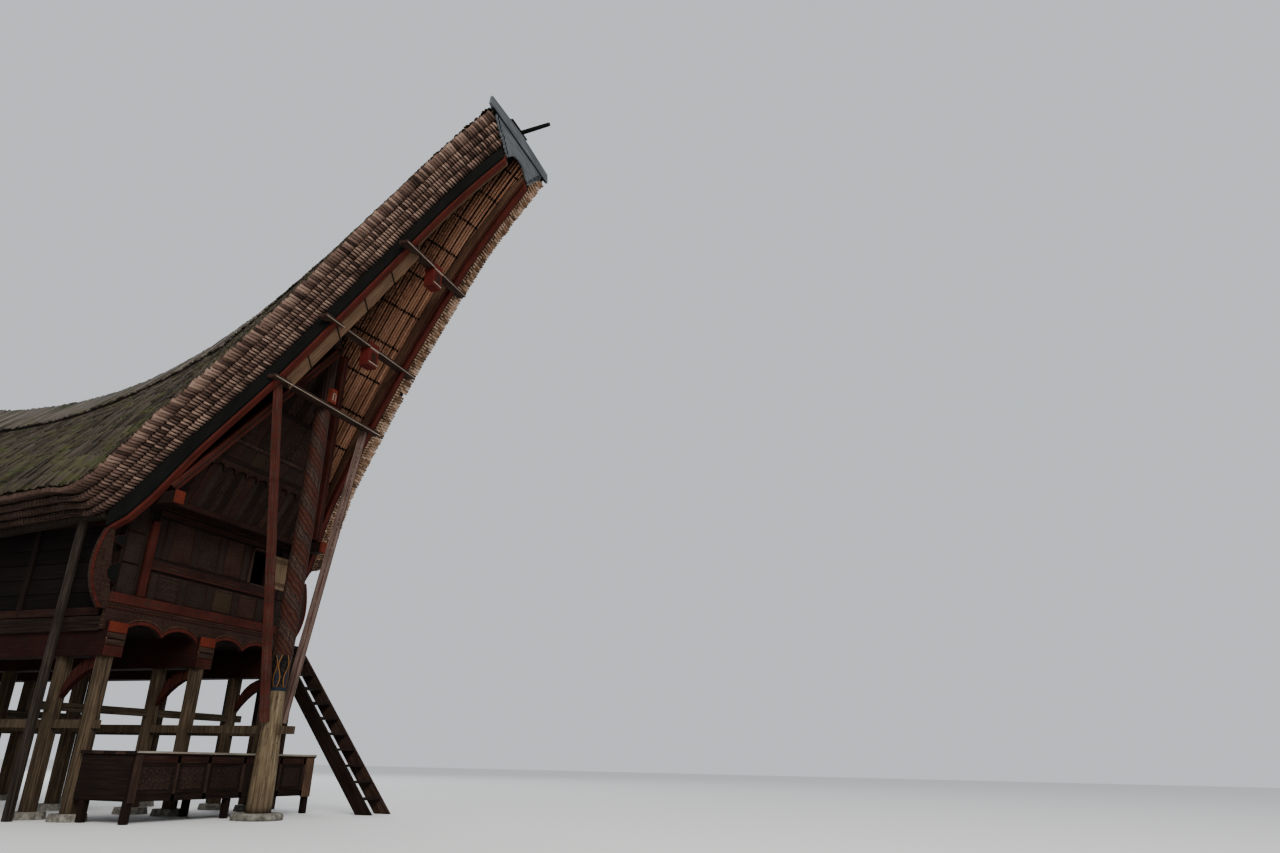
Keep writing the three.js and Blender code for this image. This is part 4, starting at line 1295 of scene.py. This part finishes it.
def arch_trim(boards, left, right, ys):
    """The two arches between two beams: a red edge and a thin tan line over it."""
    width = (right - left - 2 * BEAM_HALF) / 2
    for arch in (0, 1):
        x = left + BEAM_HALF + arch * width
        curve = bezier((x, ARCH_CUSP), (x + width * 0.2, ARCH_CONTROL), (x + width * 0.8, ARCH_CONTROL),
                       (x + width, ARCH_CUSP), 14)
        for (x0, z0), (x1, z1) in zip(curve, curve[1:]):
            for low, high, material, shade in ((0.0, 0.05, VERGE_RED, 0.3), (0.072, 0.088, TAN_WOOD, 0.6)):
                ring = [(x0, z0 + low), (x1, z1 + low), (x1, z1 + high), (x0, z0 + high)]
                boards.slab(ring, *ys, material, shade=shade)


def crescent_trim(boards, side):
    curve = crescent_curve(12)
    back = CRESCENT_FACE - 0.01
    for (x0, z0), (x1, z1) in zip(curve, curve[1:]):
        ring = [(x0, z0), (x1, z1), (x1 - 0.04, z1 + 0.004), (x0 - 0.04, z0 + 0.01)]
        boards.slab([(side * x, z) for x, z in ring], back, CRESCENT_FACE + 0.012, VERGE_RED, (0, 0, 1), 0.4)
    # Two black lenses inside each crescent: painted shade, dark plates that stand for shaded hollows.
    for low, high in CRESCENT_SHADE_LENSES:
        half = (high - low) / 2
        lens = [(1.965, low), (2.12, low + half * 0.5), (2.16, low + half), (2.12, low + half * 1.5),
                (1.965, high)]
        boards.slab([(side * x, z) for x, z in lens], back, CRESCENT_FACE + 0.004, BLACK_BOARD,
                    (0, 0, 1), 0.2)


def sill_trim(end_name, end_sign):
    boards = Boards(43, end_sign)
    ys = (SILL_FACE - 0.01, SILL_FACE + 0.012)
    for left, right in zip(BEAM_PLACES, BEAM_PLACES[1:]):
        arch_trim(boards, left, right, ys)
    boards.box(-2.0, 2.0, SILL_FACE - 0.01, SILL_FACE + 0.02, 3.075, 3.225, RED_WOOD)
    boards.box(-2.0, 2.0, *ys, 3.035, 3.062, COLLAR_WOOD)
    boards.box(-2.0, 2.0, *ys, 2.985, 3.005, DULL_RED)
    face = (BEAM_END_FACE, BEAM_END_FACE + 0.017)
    for place in BEAM_PLACES:
        for z0, z1, material in BEAM_BANDS:
            boards.box(place - 0.165, place + 0.165, *face, z0, z1, material)
        boards.box(place - 0.168, place + 0.168, *face, 2.52, 2.54, PALE_EDGE)
    for side in (-1, 1):
        crescent_trim(boards, side)
    boards.finish(f"{end_name}_sill_trim", "red_timber", bevel=0.003)


for end_name, end_sign in ENDS:
    sill_trim(end_name, end_sign)

# %% [markdown]
# The gable. Its wall proper stands back over the end wall. Before it a triangle of carved boards
# leans out between the red rafters, up to their apex: upright boards, a scalloped board, a row
# of panels, then one field of smaller carved boards.

# %% Gable boards
GABLE_LEAN = 0.25 / 4.2
GABLE_FOOT = 4.86
RAFTER_APEX = (0.0, 7.3, 8.1)
RAFTER_FOOT = (1.78, 5.8, 4.9)
RAFTER_RISE = RAFTER_APEX[2] - RAFTER_FOOT[2]
RAFTER_LEAN = (RAFTER_APEX[1] - RAFTER_FOOT[1]) / RAFTER_RISE
FINGER = 0.03
SCALLOP_WIDTH = 0.26
UPRIGHTS = [CARVED_SPIRALS, BROWN_PLANK, CARVED_RINGS, DULL_RED, CARVED_DIAMONDS, BROWN_PLANK]
FIELD = [CARVED_FIELD, CARVED_SPIRALS, CARVED_RINGS]


def gable_top(x, out):
    """Where the lining meets the gable, less a finger's width."""
    share = min(abs(x) / edge_x(out), 1.0)
    return soffit_z(out) + (edge_z(out) - soffit_z(out)) * share - FINGER


def rafter_top(x):
    """The rafters' line over a place across the gable."""
    return RAFTER_APEX[2] - RAFTER_RISE * abs(x) / RAFTER_FOOT[0] - FINGER


class GableBoards(Boards):
    """The boards of a gable: on the wall, or in the leaning triangle between the rafters."""

    def upright(self, x0, x1, z0, z1, proud, material, leaning=True):
        """A board that is cut along the slope over it."""
        tops = [min(z1, rafter_top(x) if leaning else gable_top(x, WALL_FACE + 0.1)) for x in (x0, x1)]
        if max(tops) < z0 + 0.02:
            return
        points = []
        for depth in (-0.01, proud):
            for x, z in ((x0, z0), (x1, z0), (x1, max(tops[1], z0 + 0.01)), (x0, max(tops[0], z0 + 0.01))):
                out = WALL_FACE + (z - GABLE_FOOT) * GABLE_LEAN + depth
                if leaning:
                    out = RAFTER_FOOT[1] - 0.07 + (z - RAFTER_FOOT[2]) * RAFTER_LEAN + depth
                points.append(Vector((x, self.end_sign * out, z)))
        self.solid(points, CUT_FACES, material, Vector((0, 0, 1)), Vector((1, 0, 0)))

    def rail(self, z0, z1, proud, material):
        """A level rail of the leaning triangle, from rafter to rafter."""
        reach = min(RAFTER_FOOT[0] * (RAFTER_APEX[2] - FINGER - z1) / RAFTER_RISE, RAFTER_FOOT[0] - FINGER)
        self.upright(-reach, reach, z0, z1, proud, material)

    def row(self, reach, width, gap, z0, z1, prouds, materials, leaning=True):
        """Boards side by side; their thickness and material take turns."""
        for i, x in enumerate(span(-reach, reach - width, width)):
            self.upright(x + gap, x + width - gap, z0, z1, prouds[i % len(prouds)],
                         materials[i % len(materials)],
                         leaning)


def gable_boards(end_name, end_sign):
    boards = GableBoards(47, end_sign)
    boards.row(2.17, 0.155, 0.004, 4.87, 5.68, (0.022, 0.03), UPRIGHTS, False)
    boards.upright(-2.1, 2.1, 4.865, 4.93, 0.045, DULL_RED, False)
    boards.rail(4.7, 4.78, 0.05, DULL_RED)
    boards.row(1.74, 0.145, 0.004, 4.78, 5.5, (0.022, 0.03), UPRIGHTS)
    for x in span(-1.56, 1.3, SCALLOP_WIDTH):
        curve = bezier((x, 5.43), (x + 0.05, 5.53), (x + 0.21, 5.53), (x + SCALLOP_WIDTH, 5.43), 6)
        for (x0, z0), (x1, z1) in zip(curve, curve[1:]):
            boards.upright(x0, x1, z0, 5.59, 0.05, CARVED_SILL)
            boards.upright(x0, x1, z0, z0 + 0.026, 0.06, DULL_RED)
    boards.rail(5.59, 5.64, 0.06, BROWN_PLANK)
    boards.row(1.4, 0.28, 0.004, 5.65, 5.9, (0.03,), [PANELS[i] for i in (1, 0, 3, 2)])
    boards.rail(5.9, 5.95, 0.055, COLLAR_WOOD)
    boards.row(1.2, 0.2, 0.003, 5.96, 6.58, (0.026, 0.032), FIELD)
    boards.rail(6.58, 6.63, 0.05, BROWN_PLANK)
    boards.row(0.8, 0.2, 0.003, 6.64, 8.05, (0.024,), [CARVED_FIELD, BROWN_PLANK])
    boards.finish(f"{end_name}_gable_boards", "carved_board", bevel=0.003)


for end_name, end_sign in ENDS:
    gable_boards(end_name, end_sign)

# %% [markdown]
# The long side walls are of dark level planks, 240 mm wide, between upright posts, with a red
# rail above and below; their near black is partly painted shade. No two planks stand out quite as far.

# %% Side walls and door
SIDE_FACE = 1.95
SIDE_POSTS = [-5.13 + 1.71 * i for i in range(7)]
SIDE_BAYS = list(zip(SIDE_POSTS, SIDE_POSTS[1:]))
DOOR_OPENING = (-5.06, -4.36, 2.97, 4.26)
DOOR_FRAME = 0.06


def by_door(side, bay):
    return side > 0 and bay[0] < DOOR_OPENING[1] and bay[1] > DOOR_OPENING[0]


def side_planks(boards, side):
    rows = span(3.0, 5.16, 0.24)
    for i, (low, high) in enumerate(zip(rows, rows[1:])):
        for bay in SIDE_BAYS:
            z0, z1 = low + 0.004, high - 0.004
            eave = edge_z(min(abs(bay[0]), abs(bay[1])))
            top = soffit_z(0.0) - (soffit_z(0.0) - eave) * SIDE_FACE / 2.4 - 0.02
            if z0 > top:
                continue
            start = bay[0] + 0.05
            if by_door(side, bay) and z0 < DOOR_OPENING[3]:
                start = DOOR_OPENING[1] + DOOR_FRAME
            proud = 0.014 + 0.006 * boards.random.random()
            boards.box(side * (SIDE_FACE - 0.005), side * (SIDE_FACE + proud), start, bay[1] - 0.05, z0,
                       min(z1, top), DARK_PLANK if i % 3 else SIDE_WOOD)


def door_boards(boards):
    y0, y1, z0, z1 = DOOR_OPENING
    for low, high, foot, head in ((y0 - DOOR_FRAME, y0, z0, z1 + DOOR_FRAME),
                                  (y1, y1 + DOOR_FRAME, z0, z1 + DOOR_FRAME), (y0, y1, z1, z1 + DOOR_FRAME)):
        boards.box(SIDE_FACE - 0.01, SIDE_FACE + 0.05, low, high, foot, head, BROWN_PLANK)
    for i in range(4):
        y = y0 + 0.012 + i * 0.17
        boards.box(SIDE_FACE - 0.012, SIDE_FACE + 0.004, y, y + 0.165, z0 + 0.01, z1 - 0.01, DARK_PLANK)
    for z in (z0 + 0.25, z1 - 0.25):
        boards.box(SIDE_FACE - 0.01, SIDE_FACE + 0.022, y0 + 0.04, y1 - 0.04, z - 0.04, z + 0.04, BROWN_PLANK)


def side_wall(name, side):
    boards = Boards(53)
    side_planks(boards, side)
    xs = (side * (SIDE_FACE - 0.01), side * (SIDE_FACE + 0.045))
    for y in SIDE_POSTS:
        top = soffit_z(y) - (soffit_z(y) - edge_z(y)) * SIDE_FACE / edge_x(y) - 0.03
        boards.box(*xs, y - 0.055, y + 0.055, 2.99, min(top, 5.0), BROWN_PLANK)
    for bay in SIDE_BAYS:
        start = DOOR_OPENING[1] + DOOR_FRAME if by_door(side, bay) else bay[0]
        boards.box(*xs, start, bay[1], 2.875, 3.0, DULL_RED)
        boards.box(*xs, *bay, 4.3, 4.4, DULL_RED)
    if side > 0:
        door_boards(boards)
    boards.finish(f"{name}_wall_planks", "dark_plank", bevel=0.003)


for side_name, side_sign in SIDES:
    side_wall(side_name, side_sign)

# %% [markdown]
# The tall gable posts. The lowest third is bare and pale. A black band with pale vases stands
# above it, and the rest is carved like a rope that winds up the post. The rope is real relief,
# up to 4 mm proud of the round, and the same sum colours its strands.

# %% Gable posts
POST_OUT = 7.0
POST_PROFILE = [(0.1, 0.19), (0.5, 0.185), (1.0, 0.17), (1.5, 0.145), (1.9, 0.125), (1.96, 0.13),
                (2.5, 0.155), (3.0, 0.16), (4.5, 0.153), (6.3, 0.14), (7.1, 0.13), (10.4, 0.115)]
POST_SIDES = 56
POST_HEAD = 9.55
STONE_PROFILE = ((0.0, 0.38), (0.06, 0.385), (0.095, 0.365), (0.1, 0.34))
STONE_SIDES = 28
VASE_START = 1.9
VASE_BAND_END = 1.955
VASES_ROUND = 5.0
ROPE_START = 2.46
ROPE_END = 6.8
ROPE_LEAD = 1.1
ROPE_STRANDS = 2


def post_radius(z):
    i = 0
    while i < len(POST_PROFILE) - 2 and z > POST_PROFILE[i + 1][0]:
        i += 1
    (z0, r0), (z1, r1) = POST_PROFILE[i], POST_PROFILE[i + 1]
    return r0 + (r1 - r0) * (z - z0) / (z1 - z0)


def bare_timber(place, z, fibre):
    """The pale foot of the post, stained, darker at the ground and cracked."""
    blotch = grain_noise(place, 5.0, 5.0, 0.65)
    tint = ramp(fibre, (0.32, 0.5, 0.68), ("3e3327", "625440", "7f725c"))
    tint = blend(blotch.step(0.48, 0.7) * 0.5, tint, "4c3b2a")
    tint = blend((1.0 - z.step(0.1, 0.55)) * 0.6, tint, "392f24")
    split = grain_noise(stretch(place, (16.0, 16.0, 0.7)), 1.0, 2.0, 0.5)
    return blend(abs(split - 0.5) < 0.006, tint, "292018")


def rope_carving(place, z, turns, fibre, worn):
    """The colours of the carved rope and the height of its fine lines and dots."""
    wound = z * (ROPE_STRANDS / ROPE_LEAD) + turns * -float(ROPE_STRANDS)
    wound = wound + grain_noise(place, 6.0, 3.0) * 0.34
    strand = abs(wound.calc("FRACT") - 0.5)
    tint = ramp(fibre, (0.34, 0.5, 0.68), ("150d0d", "261a17", "3d2d28"))
    tint = blend(strand.step(0.3, 0.24), tint, "331a14")
    fine = (wound * (2.0 * math.pi * 5.0)).calc("SINE")
    tint = blend(fine.step(0.45, 0.8) * worn.step(0.38, 0.6) * 0.32, tint, "664936")
    tint = blend(fine.step(-0.55, -0.85) * 0.5, tint, "160d0b")
    dots = (turns * 120.0).calc("SINE") * (z * 105.0).calc("SINE")
    dotted = dots.step(0.35, 0.7) * strand.step(0.32, 0.36)
    tint = blend(dotted * 0.35, tint, "675950")
    return blend(worn.step(0.48, 0.6) * 0.6, tint, "2c201a"), fine + dotted


def vases(z, turns, worn):
    """Pale outlines of vases side by side on black."""
    across = (turns * VASES_ROUND).calc("FRACT") - 0.5
    swell = ((z - 1.98) / 0.46 * 6.6).calc("SINE") * 0.13 + 0.2
    inside = swell - abs(across)
    tint = blend(abs(inside) < 0.035, "0d0d0e", "7d5326")
    tint = blend(inside > 0.06, tint, "1d2028")
    return blend(worn.step(0.5, 0.66) * 0.5, tint, "4b3a2c")


def post_material():
    material, tree, shader = new_shader("carved_gable_post")
    place = object_place(tree)
    x, y, z = axes(place)
    turns = x.calc("ARCTAN2", POST_OUT - abs(y)) / (2.0 * math.pi)
    fibre = grain_noise(stretch(place, (30.0, 30.0, 1.4)), 1.0, 7.0, 0.65)
    worn = grain_noise(place, 16.0, 5.0, 0.7)
    rope, relief = rope_carving(place, z, turns, fibre, worn)
    upper = ramp(fibre, (0.35, 0.5, 0.66), ("150e0c", "271a17", "3f2e28"))
    tint = blend(z > VASE_START, bare_timber(place, z, fibre), vases(z, turns, worn))
    tint = blend((z > VASE_START) * (z < VASE_BAND_END), tint, "1a222a")
    tint = blend(z > ROPE_START, tint, rope)
    tint = blend(z > ROPE_END, tint, upper)
    tint = blend(z < STONE_TOP, tint, stone(place, 12.0))
    surface(shader, tint, 0.82, fibre + relief * ((z > ROPE_START) * 0.25), 3.0)
    return material


CARVED_POST = post_material()


def post_ring(z, end_sign):
    """The post's uneven round, with the rope's strands standing out of it."""
    ring = []
    fade = min(max((z - ROPE_START) / 0.1, 0.0), 1.0) * min(max((ROPE_END - z) / 0.1, 0.0), 1.0)
    for i in range(POST_SIDES):
        angle = 2.0 * math.pi * i / POST_SIDES
        turn = ROPE_STRANDS * (z / ROPE_LEAD - angle / (2.0 * math.pi)) % 1.0
        radius = post_radius(z) + 0.005 * math.sin(3 * angle + z * 1.3)
        radius += fade * (0.004 - 0.02 * abs(turn - 0.5) ** 1.6)
        ring.append((radius * math.sin(angle), end_sign * (POST_OUT - radius * math.cos(angle)), z))
    return ring


def stone_ring(z, radius, end_sign):
    angles = [2.0 * math.pi * i / STONE_SIDES for i in range(STONE_SIDES)]
    return [(radius * (1 + 0.03 * math.sin(5 * a)) * math.sin(a),
             end_sign * (POST_OUT - radius * math.cos(a)), z) for a in angles]


def gable_post(end_name, end_sign):
    places = span(0.1, ROPE_START, 0.1) + span(ROPE_START, ROPE_END, 0.026)[1:]
    places += span(ROPE_END, POST_HEAD, 0.2)[1:]
    points, faces = loft([post_ring(z, end_sign) for z in places])
    stone_points, stone_faces = loft([stone_ring(z, radius, end_sign) for z, radius in STONE_PROFILE])
    faces += [tuple(len(points) + i for i in face) for face in stone_faces]
    mesh = closed_mesh(f"{end_name}_carved_post", points + stone_points, faces, CARVED_POST)
    mesh.polygons.foreach_set("use_smooth", [len(p.vertices) == 4 for p in mesh.polygons])
    add_piece(mesh.name, mesh, "weathered_timber", f"{end_name}_gable_post")


for end_name, end_sign in ENDS:
    gable_post(end_name, end_sign)

# %% [markdown]
# The timbers of the overhang: struts that lean out from the post to the lowest collar, red
# rafters before the gable, and the collars with their hanging blocks. The left strut is red
# with a carved line, the right one is bare grey with a row of white marks along its edge.

# %% Struts, rafters, collars and blocks
STRUT_FOOT = Vector((0.2, 0.0, 1.42))
STRUT_HEAD = Vector((1.21, 0.0, 6.83))
STRUT_MIDDLE = (STRUT_FOOT + STRUT_HEAD) / 2
STRUT_OUT = 7.01
STRUT_FACE = STRUT_OUT + 0.053
STRUT_WIDTH = 0.125
STRUT_MARKS = range(24, 52)
COLLARS = ((7.1, 6.88, 1.48, False), (7.83, 7.97, 1.36, True), (9.0, 9.42, 1.02, True))
BLOCK_HALF = 0.132
POST_BLOCK_FACE = 7.197


def strut_boards(boards, side, body, line, marks):
    lean = (STRUT_HEAD - STRUT_FOOT).normalized()
    across = Vector((lean.z, 0.0, -lean.x))

    def strip(start, end, offset, out, width, depth, material, shade):
        """A board along the strut, moved across it by the offset."""
        ends = [(side * v.x, boards.end_sign * out, v.z)
                for v in (start + across * offset, end + across * offset)]
        wide = across * width
        boards.plank(*ends, (side * wide.x, 0.0, wide.z), (0, depth, 0), material, shade)

    strip(STRUT_FOOT, STRUT_HEAD, 0.0, STRUT_OUT, STRUT_WIDTH, 0.1, body, 0.3)
    strip(STRUT_FOOT, STRUT_HEAD, -0.048, STRUT_FACE, 0.012, 0.008, line, 0.5)
    strip(STRUT_MIDDLE, STRUT_HEAD, 0.048, STRUT_FACE, 0.012, 0.008, line, 0.5)
    if not marks:
        return
    strip(STRUT_FOOT, STRUT_MIDDLE, 0.05, STRUT_FACE, 0.014, 0.008, PALE_EDGE, 0.3)
    for i in STRUT_MARKS:
        middle = STRUT_FOOT + lean * (0.12 + i * 0.1)
        strip(middle, middle + lean * 0.055, -0.052, STRUT_FACE - 0.001, 0.016, 0.01, PALE_EDGE, 0.1)


def rafter_boards(boards):
    for side in (-1, 1):
        apex = Vector((0.0, boards.end_sign * RAFTER_APEX[1], RAFTER_APEX[2]))
        foot = Vector((side * RAFTER_FOOT[0], boards.end_sign * RAFTER_FOOT[1], RAFTER_FOOT[2]))
        along = (foot - apex).normalized()
        first = apex + along * 0.24
        depth = Vector((0.0, boards.end_sign, 0.0))
        depth = (depth - along * depth.dot(along)).normalized()
        across = along.cross(depth).normalized()
        boards.plank(first, foot - along * 0.02, across * 0.14, depth * 0.1, RED_WOOD, 0.2)
        boards.plank(first + depth * 0.05, foot + depth * 0.05 - along * 0.02, across * 0.04, depth * 0.012,
                     DULL_RED, 0.5)


def collar_boards(boards):
    for out, height, half, block in COLLARS:
        boards.box(-half, half, out - 0.092, out + 0.092, height - 0.052, height + 0.002, COLLAR_WOOD, 0.3)
        boards.box(-half, half, out + 0.088, out + 0.1, height - 0.058, height - 0.036, PALE_EDGE, 0.1)
        if not block:
            continue
        boards.box(-BLOCK_HALF, BLOCK_HALF, out - 0.102, out + 0.102, height - 0.402, height + 0.052,
                   BLOCK_RED, 0.2)
        front = (out + 0.1, out + 0.112)
        for z0, z1 in ((height - 0.09, height - 0.05), (height - 0.36, height - 0.33)):
            boards.box(-BLOCK_HALF, BLOCK_HALF, *front, z0, z1, PALE_EDGE, 0.2)
        boards.box(-0.07, 0.07, *front, height - 0.3, height - 0.13, DULL_RED, 0.4)


def post_block(boards):
    """The red block on the post's face with its pale notch, over the lowest collar."""
    face = POST_BLOCK_FACE
    boards.box(-0.077, 0.077, face - 0.1, face, 6.928, 7.202, ORANGE_RED, 0.1)
    notch = ((-0.045, -0.022, 6.97, 7.12), (0.022, 0.045, 6.97, 7.12), (-0.045, 0.045, 7.1, 7.125))
    for x0, x1, z0, z1 in notch:
        boards.box(x0, x1, face - 0.002, face + 0.008, z0, z1, PALE_EDGE, 0.1)


for end_name, end_sign in ENDS:
    timbers = Boards(61, end_sign)
    strut_boards(timbers, -1, WORN_RED, DULL_RED, False)
    strut_boards(timbers, 1, STRUT_GREY, BROWN_PLANK, True)
    rafter_boards(timbers)
    collar_boards(timbers)
    post_block(timbers)
    solids = ("strut_left", "strut_right", "gable_rafters", "collar_1", "collar_2", "collar_3")
    timbers.finish(f"{end_name}_overhang_timbers", "red_timber", *(f"{end_name}_{solid}" for solid in solids))

# %% [markdown]
# The roof's tip is closed by two wide grey planks, one lapped over the other. The lower one has
# an arch in the middle of its lower edge and split, uneven ends. A dark pole stands out over them.

# %% Tip boards
TIP_FACE = 10.5503
UPPER_PLANK = [(-1.21, 11.85), (-1.15, 11.84), (1.15, 11.84), (1.21, 11.85), (1.18, 12.04), (0.0, 12.11),
               (-1.18, 12.04)]
LOWER_HALF = [(0.14, 11.49), (0.26, 11.42), (0.36, 11.32), (0.46, 11.3), (0.52, 11.37), (0.64, 11.5),
              (0.8, 11.62), (0.93, 11.76), (0.96, 11.85)]
ARCH_TOP = (0.0, 11.51)
SPLITS = 9
POLE_HEIGHT = 12.155
POLE_RUN = (0.62, 0.062)
POLE_SIDES = 12


def pole(boards):
    start = Vector((0.0, boards.end_sign * TIP_FACE, POLE_HEIGHT))
    end = start + Vector((0.0, boards.end_sign * POLE_RUN[0], POLE_RUN[1]))
    angles = [2 * math.pi * i / POLE_SIDES for i in range(POLE_SIDES)]
    points, faces = loft([[middle + Vector((math.sin(a) * radius, 0.0, math.cos(a) * radius)) for a in angles]
                          for middle, radius in ((start, 0.045), (end, 0.038))])
    boards.solid(points, faces, BLACK_BOARD, (end - start).normalized(), Vector((1, 0, 0)), 0.5)


def tip_boards(end_name, end_sign):
    boards = Boards(67, end_sign)
    lower = [(-x, z) for x, z in reversed(LOWER_HALF)] + [ARCH_TOP] + LOWER_HALF
    low_ys = (TIP_FACE, TIP_FACE + 0.035)
    boards.slab(lower, *low_ys, GREY_PLANK, shade=0.2)
    boards.slab(UPPER_PLANK, TIP_FACE + 0.004, TIP_FACE + 0.055, GREY_PLANK, shade=0.0)
    boards.box(-1.13, 1.13, TIP_FACE + 0.01, TIP_FACE + 0.06, 11.828, 11.846, BLACK_BOARD, 0.2)
    draw = random.Random(5)
    for i in range(SPLITS):
        x = 0.45 + i * 0.055
        for side in (-1, 1):
            low = 11.3 + i * 0.052 - draw.uniform(0.0, 0.05)
            ring = [(x - 0.02, low), (x + 0.02, low + 0.02), (x + 0.02, low + 0.14), (x - 0.02, low + 0.14)]
            boards.slab([(side * px, pz) for px, pz in ring], *low_ys, GREY_PLANK, (0, 0, 1))
    pole(boards)
    boards.finish(f"{end_name}_tip_planks", "grey_plank", f"{end_name}_tip_board")


for end_name, end_sign in ENDS:
    tip_boards(end_name, end_sign)

# %% [markdown]
# The bench under the overhang is a box of carved panels on short legs, with a pale worn edge on
# its deck. The shutter beside the window is of new pale boards. The stair has two boards on edge
# with ten treads between them, and ends at a landing before the side door.

# %% Bench, shutter and stair
BENCH_HALF = 1.9
BENCH_FRONT = -6.4
BENCH_BACK = -5.391
BENCH_TOP = 0.95
BENCH_LOW = 0.29
BENCH_JOINTS = (-1.9, -1.15, -0.55, 0.2, 0.42, 1.05, 1.66)
DECK_PLANKS = 5
SHUTTER_BOARD = 0.1655


def bench_boards():
    boards = Boards(71)
    half, front, low, deck = BENCH_HALF, BENCH_FRONT, BENCH_LOW, BENCH_TOP
    top = deck - 0.045
    face, proud, corner = ((front - out, front + 0.01) for out in (0.012, 0.022, 0.028))
    for x0, x1 in zip(BENCH_JOINTS, BENCH_JOINTS[1:]):
        boards.box(x0 + 0.03, x1 - 0.03, *face, low + 0.09, top - 0.1, BROWN_PLANK)
        if x1 - x0 > 0.5:
            boards.box(x0 + 0.09, x1 - 0.09, front - 0.018, front, low + 0.15, top - 0.16, CARVED_SPIRALS)
        boards.box(x1 - 0.03, x1 + 0.03, *proud, low, top, COLLAR_WOOD)
    boards.box(-half, half, *proud, top - 0.11, top - 0.005, DULL_RED)
    boards.box(-half, half, *proud, low, low + 0.09, BROWN_PLANK)
    boards.box(1.68, 1.905, *corner, low - 0.02, top, TAN_WOOD)
    boards.box(-1.905, -1.8, *corner, low - 0.02, top, COLLAR_WOOD)
    width = (BENCH_BACK - front + 0.035) / DECK_PLANKS
    for i in range(DECK_PLANKS):
        y = front - 0.035 + i * width
        boards.box(-half - 0.032, half + 0.032, y + 0.002, y + width - 0.003, deck - 0.047, deck + 0.003,
                   COLLAR_WOOD if i % 2 else BROWN_PLANK)
    boards.box(-half - 0.034, half + 0.034, front - 0.04, front - 0.026, deck - 0.026, deck + 0.006,
               PALE_EDGE)
    for side in (-1, 1):
        boards.box(side * (half - 0.01), side * (half + 0.014), front + 0.05, -5.42, low + 0.02, top - 0.02,
                   BROWN_PLANK)
    boards.finish("bench_panels", "carved_board", bevel=0.003)


def shutter_boards():
    boards = Boards(73)
    for i in range(3):
        x = SHUTTER[0] + 0.004 + i * SHUTTER_BOARD
        boards.box(x, x + SHUTTER_BOARD - 0.0035, -5.272, -5.2303, 3.9, 4.52, CREAM_BOARD)
    for z in (4.0, 4.42):
        boards.box(SHUTTER[0] + 0.02, SHUTTER[1] - 0.02, -5.288, -5.27, z - 0.03, z + 0.03, TAN_WOOD)
    boards.finish("shutter_boards", "cream_board", "front_shutter")


STAIR_INNER = 2.03
STAIR_OUTER = 2.64
STAIR_FOOT = -7.65
STAIR_HEAD = -5.15
STAIR_TOP = 2.96
STAIR_BOARD = 0.055
STAIR_DEPTH = 0.25
TREADS = 10
TREAD_HALF = 0.125
TREAD_THICK = 0.04


def stair_boards():
    boards = Boards(79)
    run = STAIR_HEAD - STAIR_FOOT
    along = Vector((0.0, run, STAIR_TOP)).normalized()
    across = Vector((0.0, -along.z, along.y))
    tall = math.hypot(1.0, STAIR_TOP / run) * STAIR_DEPTH
    head = STAIR_HEAD - 0.002
    side_shape = ((STAIR_FOOT, 0.0), (head, STAIR_TOP), (head, STAIR_TOP - tall),
                  (STAIR_FOOT + tall * run / STAIR_TOP, 0.0))
    for x, material in ((STAIR_INNER, BROWN_PLANK), (STAIR_OUTER - STAIR_BOARD, COLLAR_WOOD)):
        points = [Vector((x + dx, y, z)) for dx in (0.0, STAIR_BOARD) for y, z in side_shape]
        boards.solid(points, CUT_FACES, material, along, across, 0.2)
    rise = STAIR_TOP / (TREADS + 1)
    for i in range(1, TREADS + 1):
        middle = STAIR_FOOT + (i * rise + tall * 0.35) * run / STAIR_TOP
        boards.box(STAIR_INNER + STAIR_BOARD - 0.02, STAIR_OUTER - STAIR_BOARD + 0.02, middle - TREAD_HALF,
                   min(middle + TREAD_HALF, head), i * rise - TREAD_THICK, i * rise, BROWN_PLANK)
    boards.finish("stair_boards", "dark_plank", "side_stair", bevel=0.005)


def landing_boards():
    boards = Boards(83)
    for i in range(5):
        y = STAIR_HEAD + i * 0.17
        boards.box(2.012, STAIR_OUTER, y + 0.002, y + 0.167, 2.9, 2.962, BROWN_PLANK)
    for y in (-5.07, -4.38):
        boards.box(2.0103, STAIR_OUTER, y - 0.04, y + 0.04, 2.78, 2.9, DARK_PLANK)
        boards.plank((2.58, y, 0.0), (2.58, y, 2.79), (0.1, 0, 0), (0, 0.1, 0), COLLAR_WOOD)
    boards.finish("landing_boards", "dark_plank", "stair_landing", bevel=0.006)


bench_boards()
shutter_boards()
stair_boards()
landing_boards()
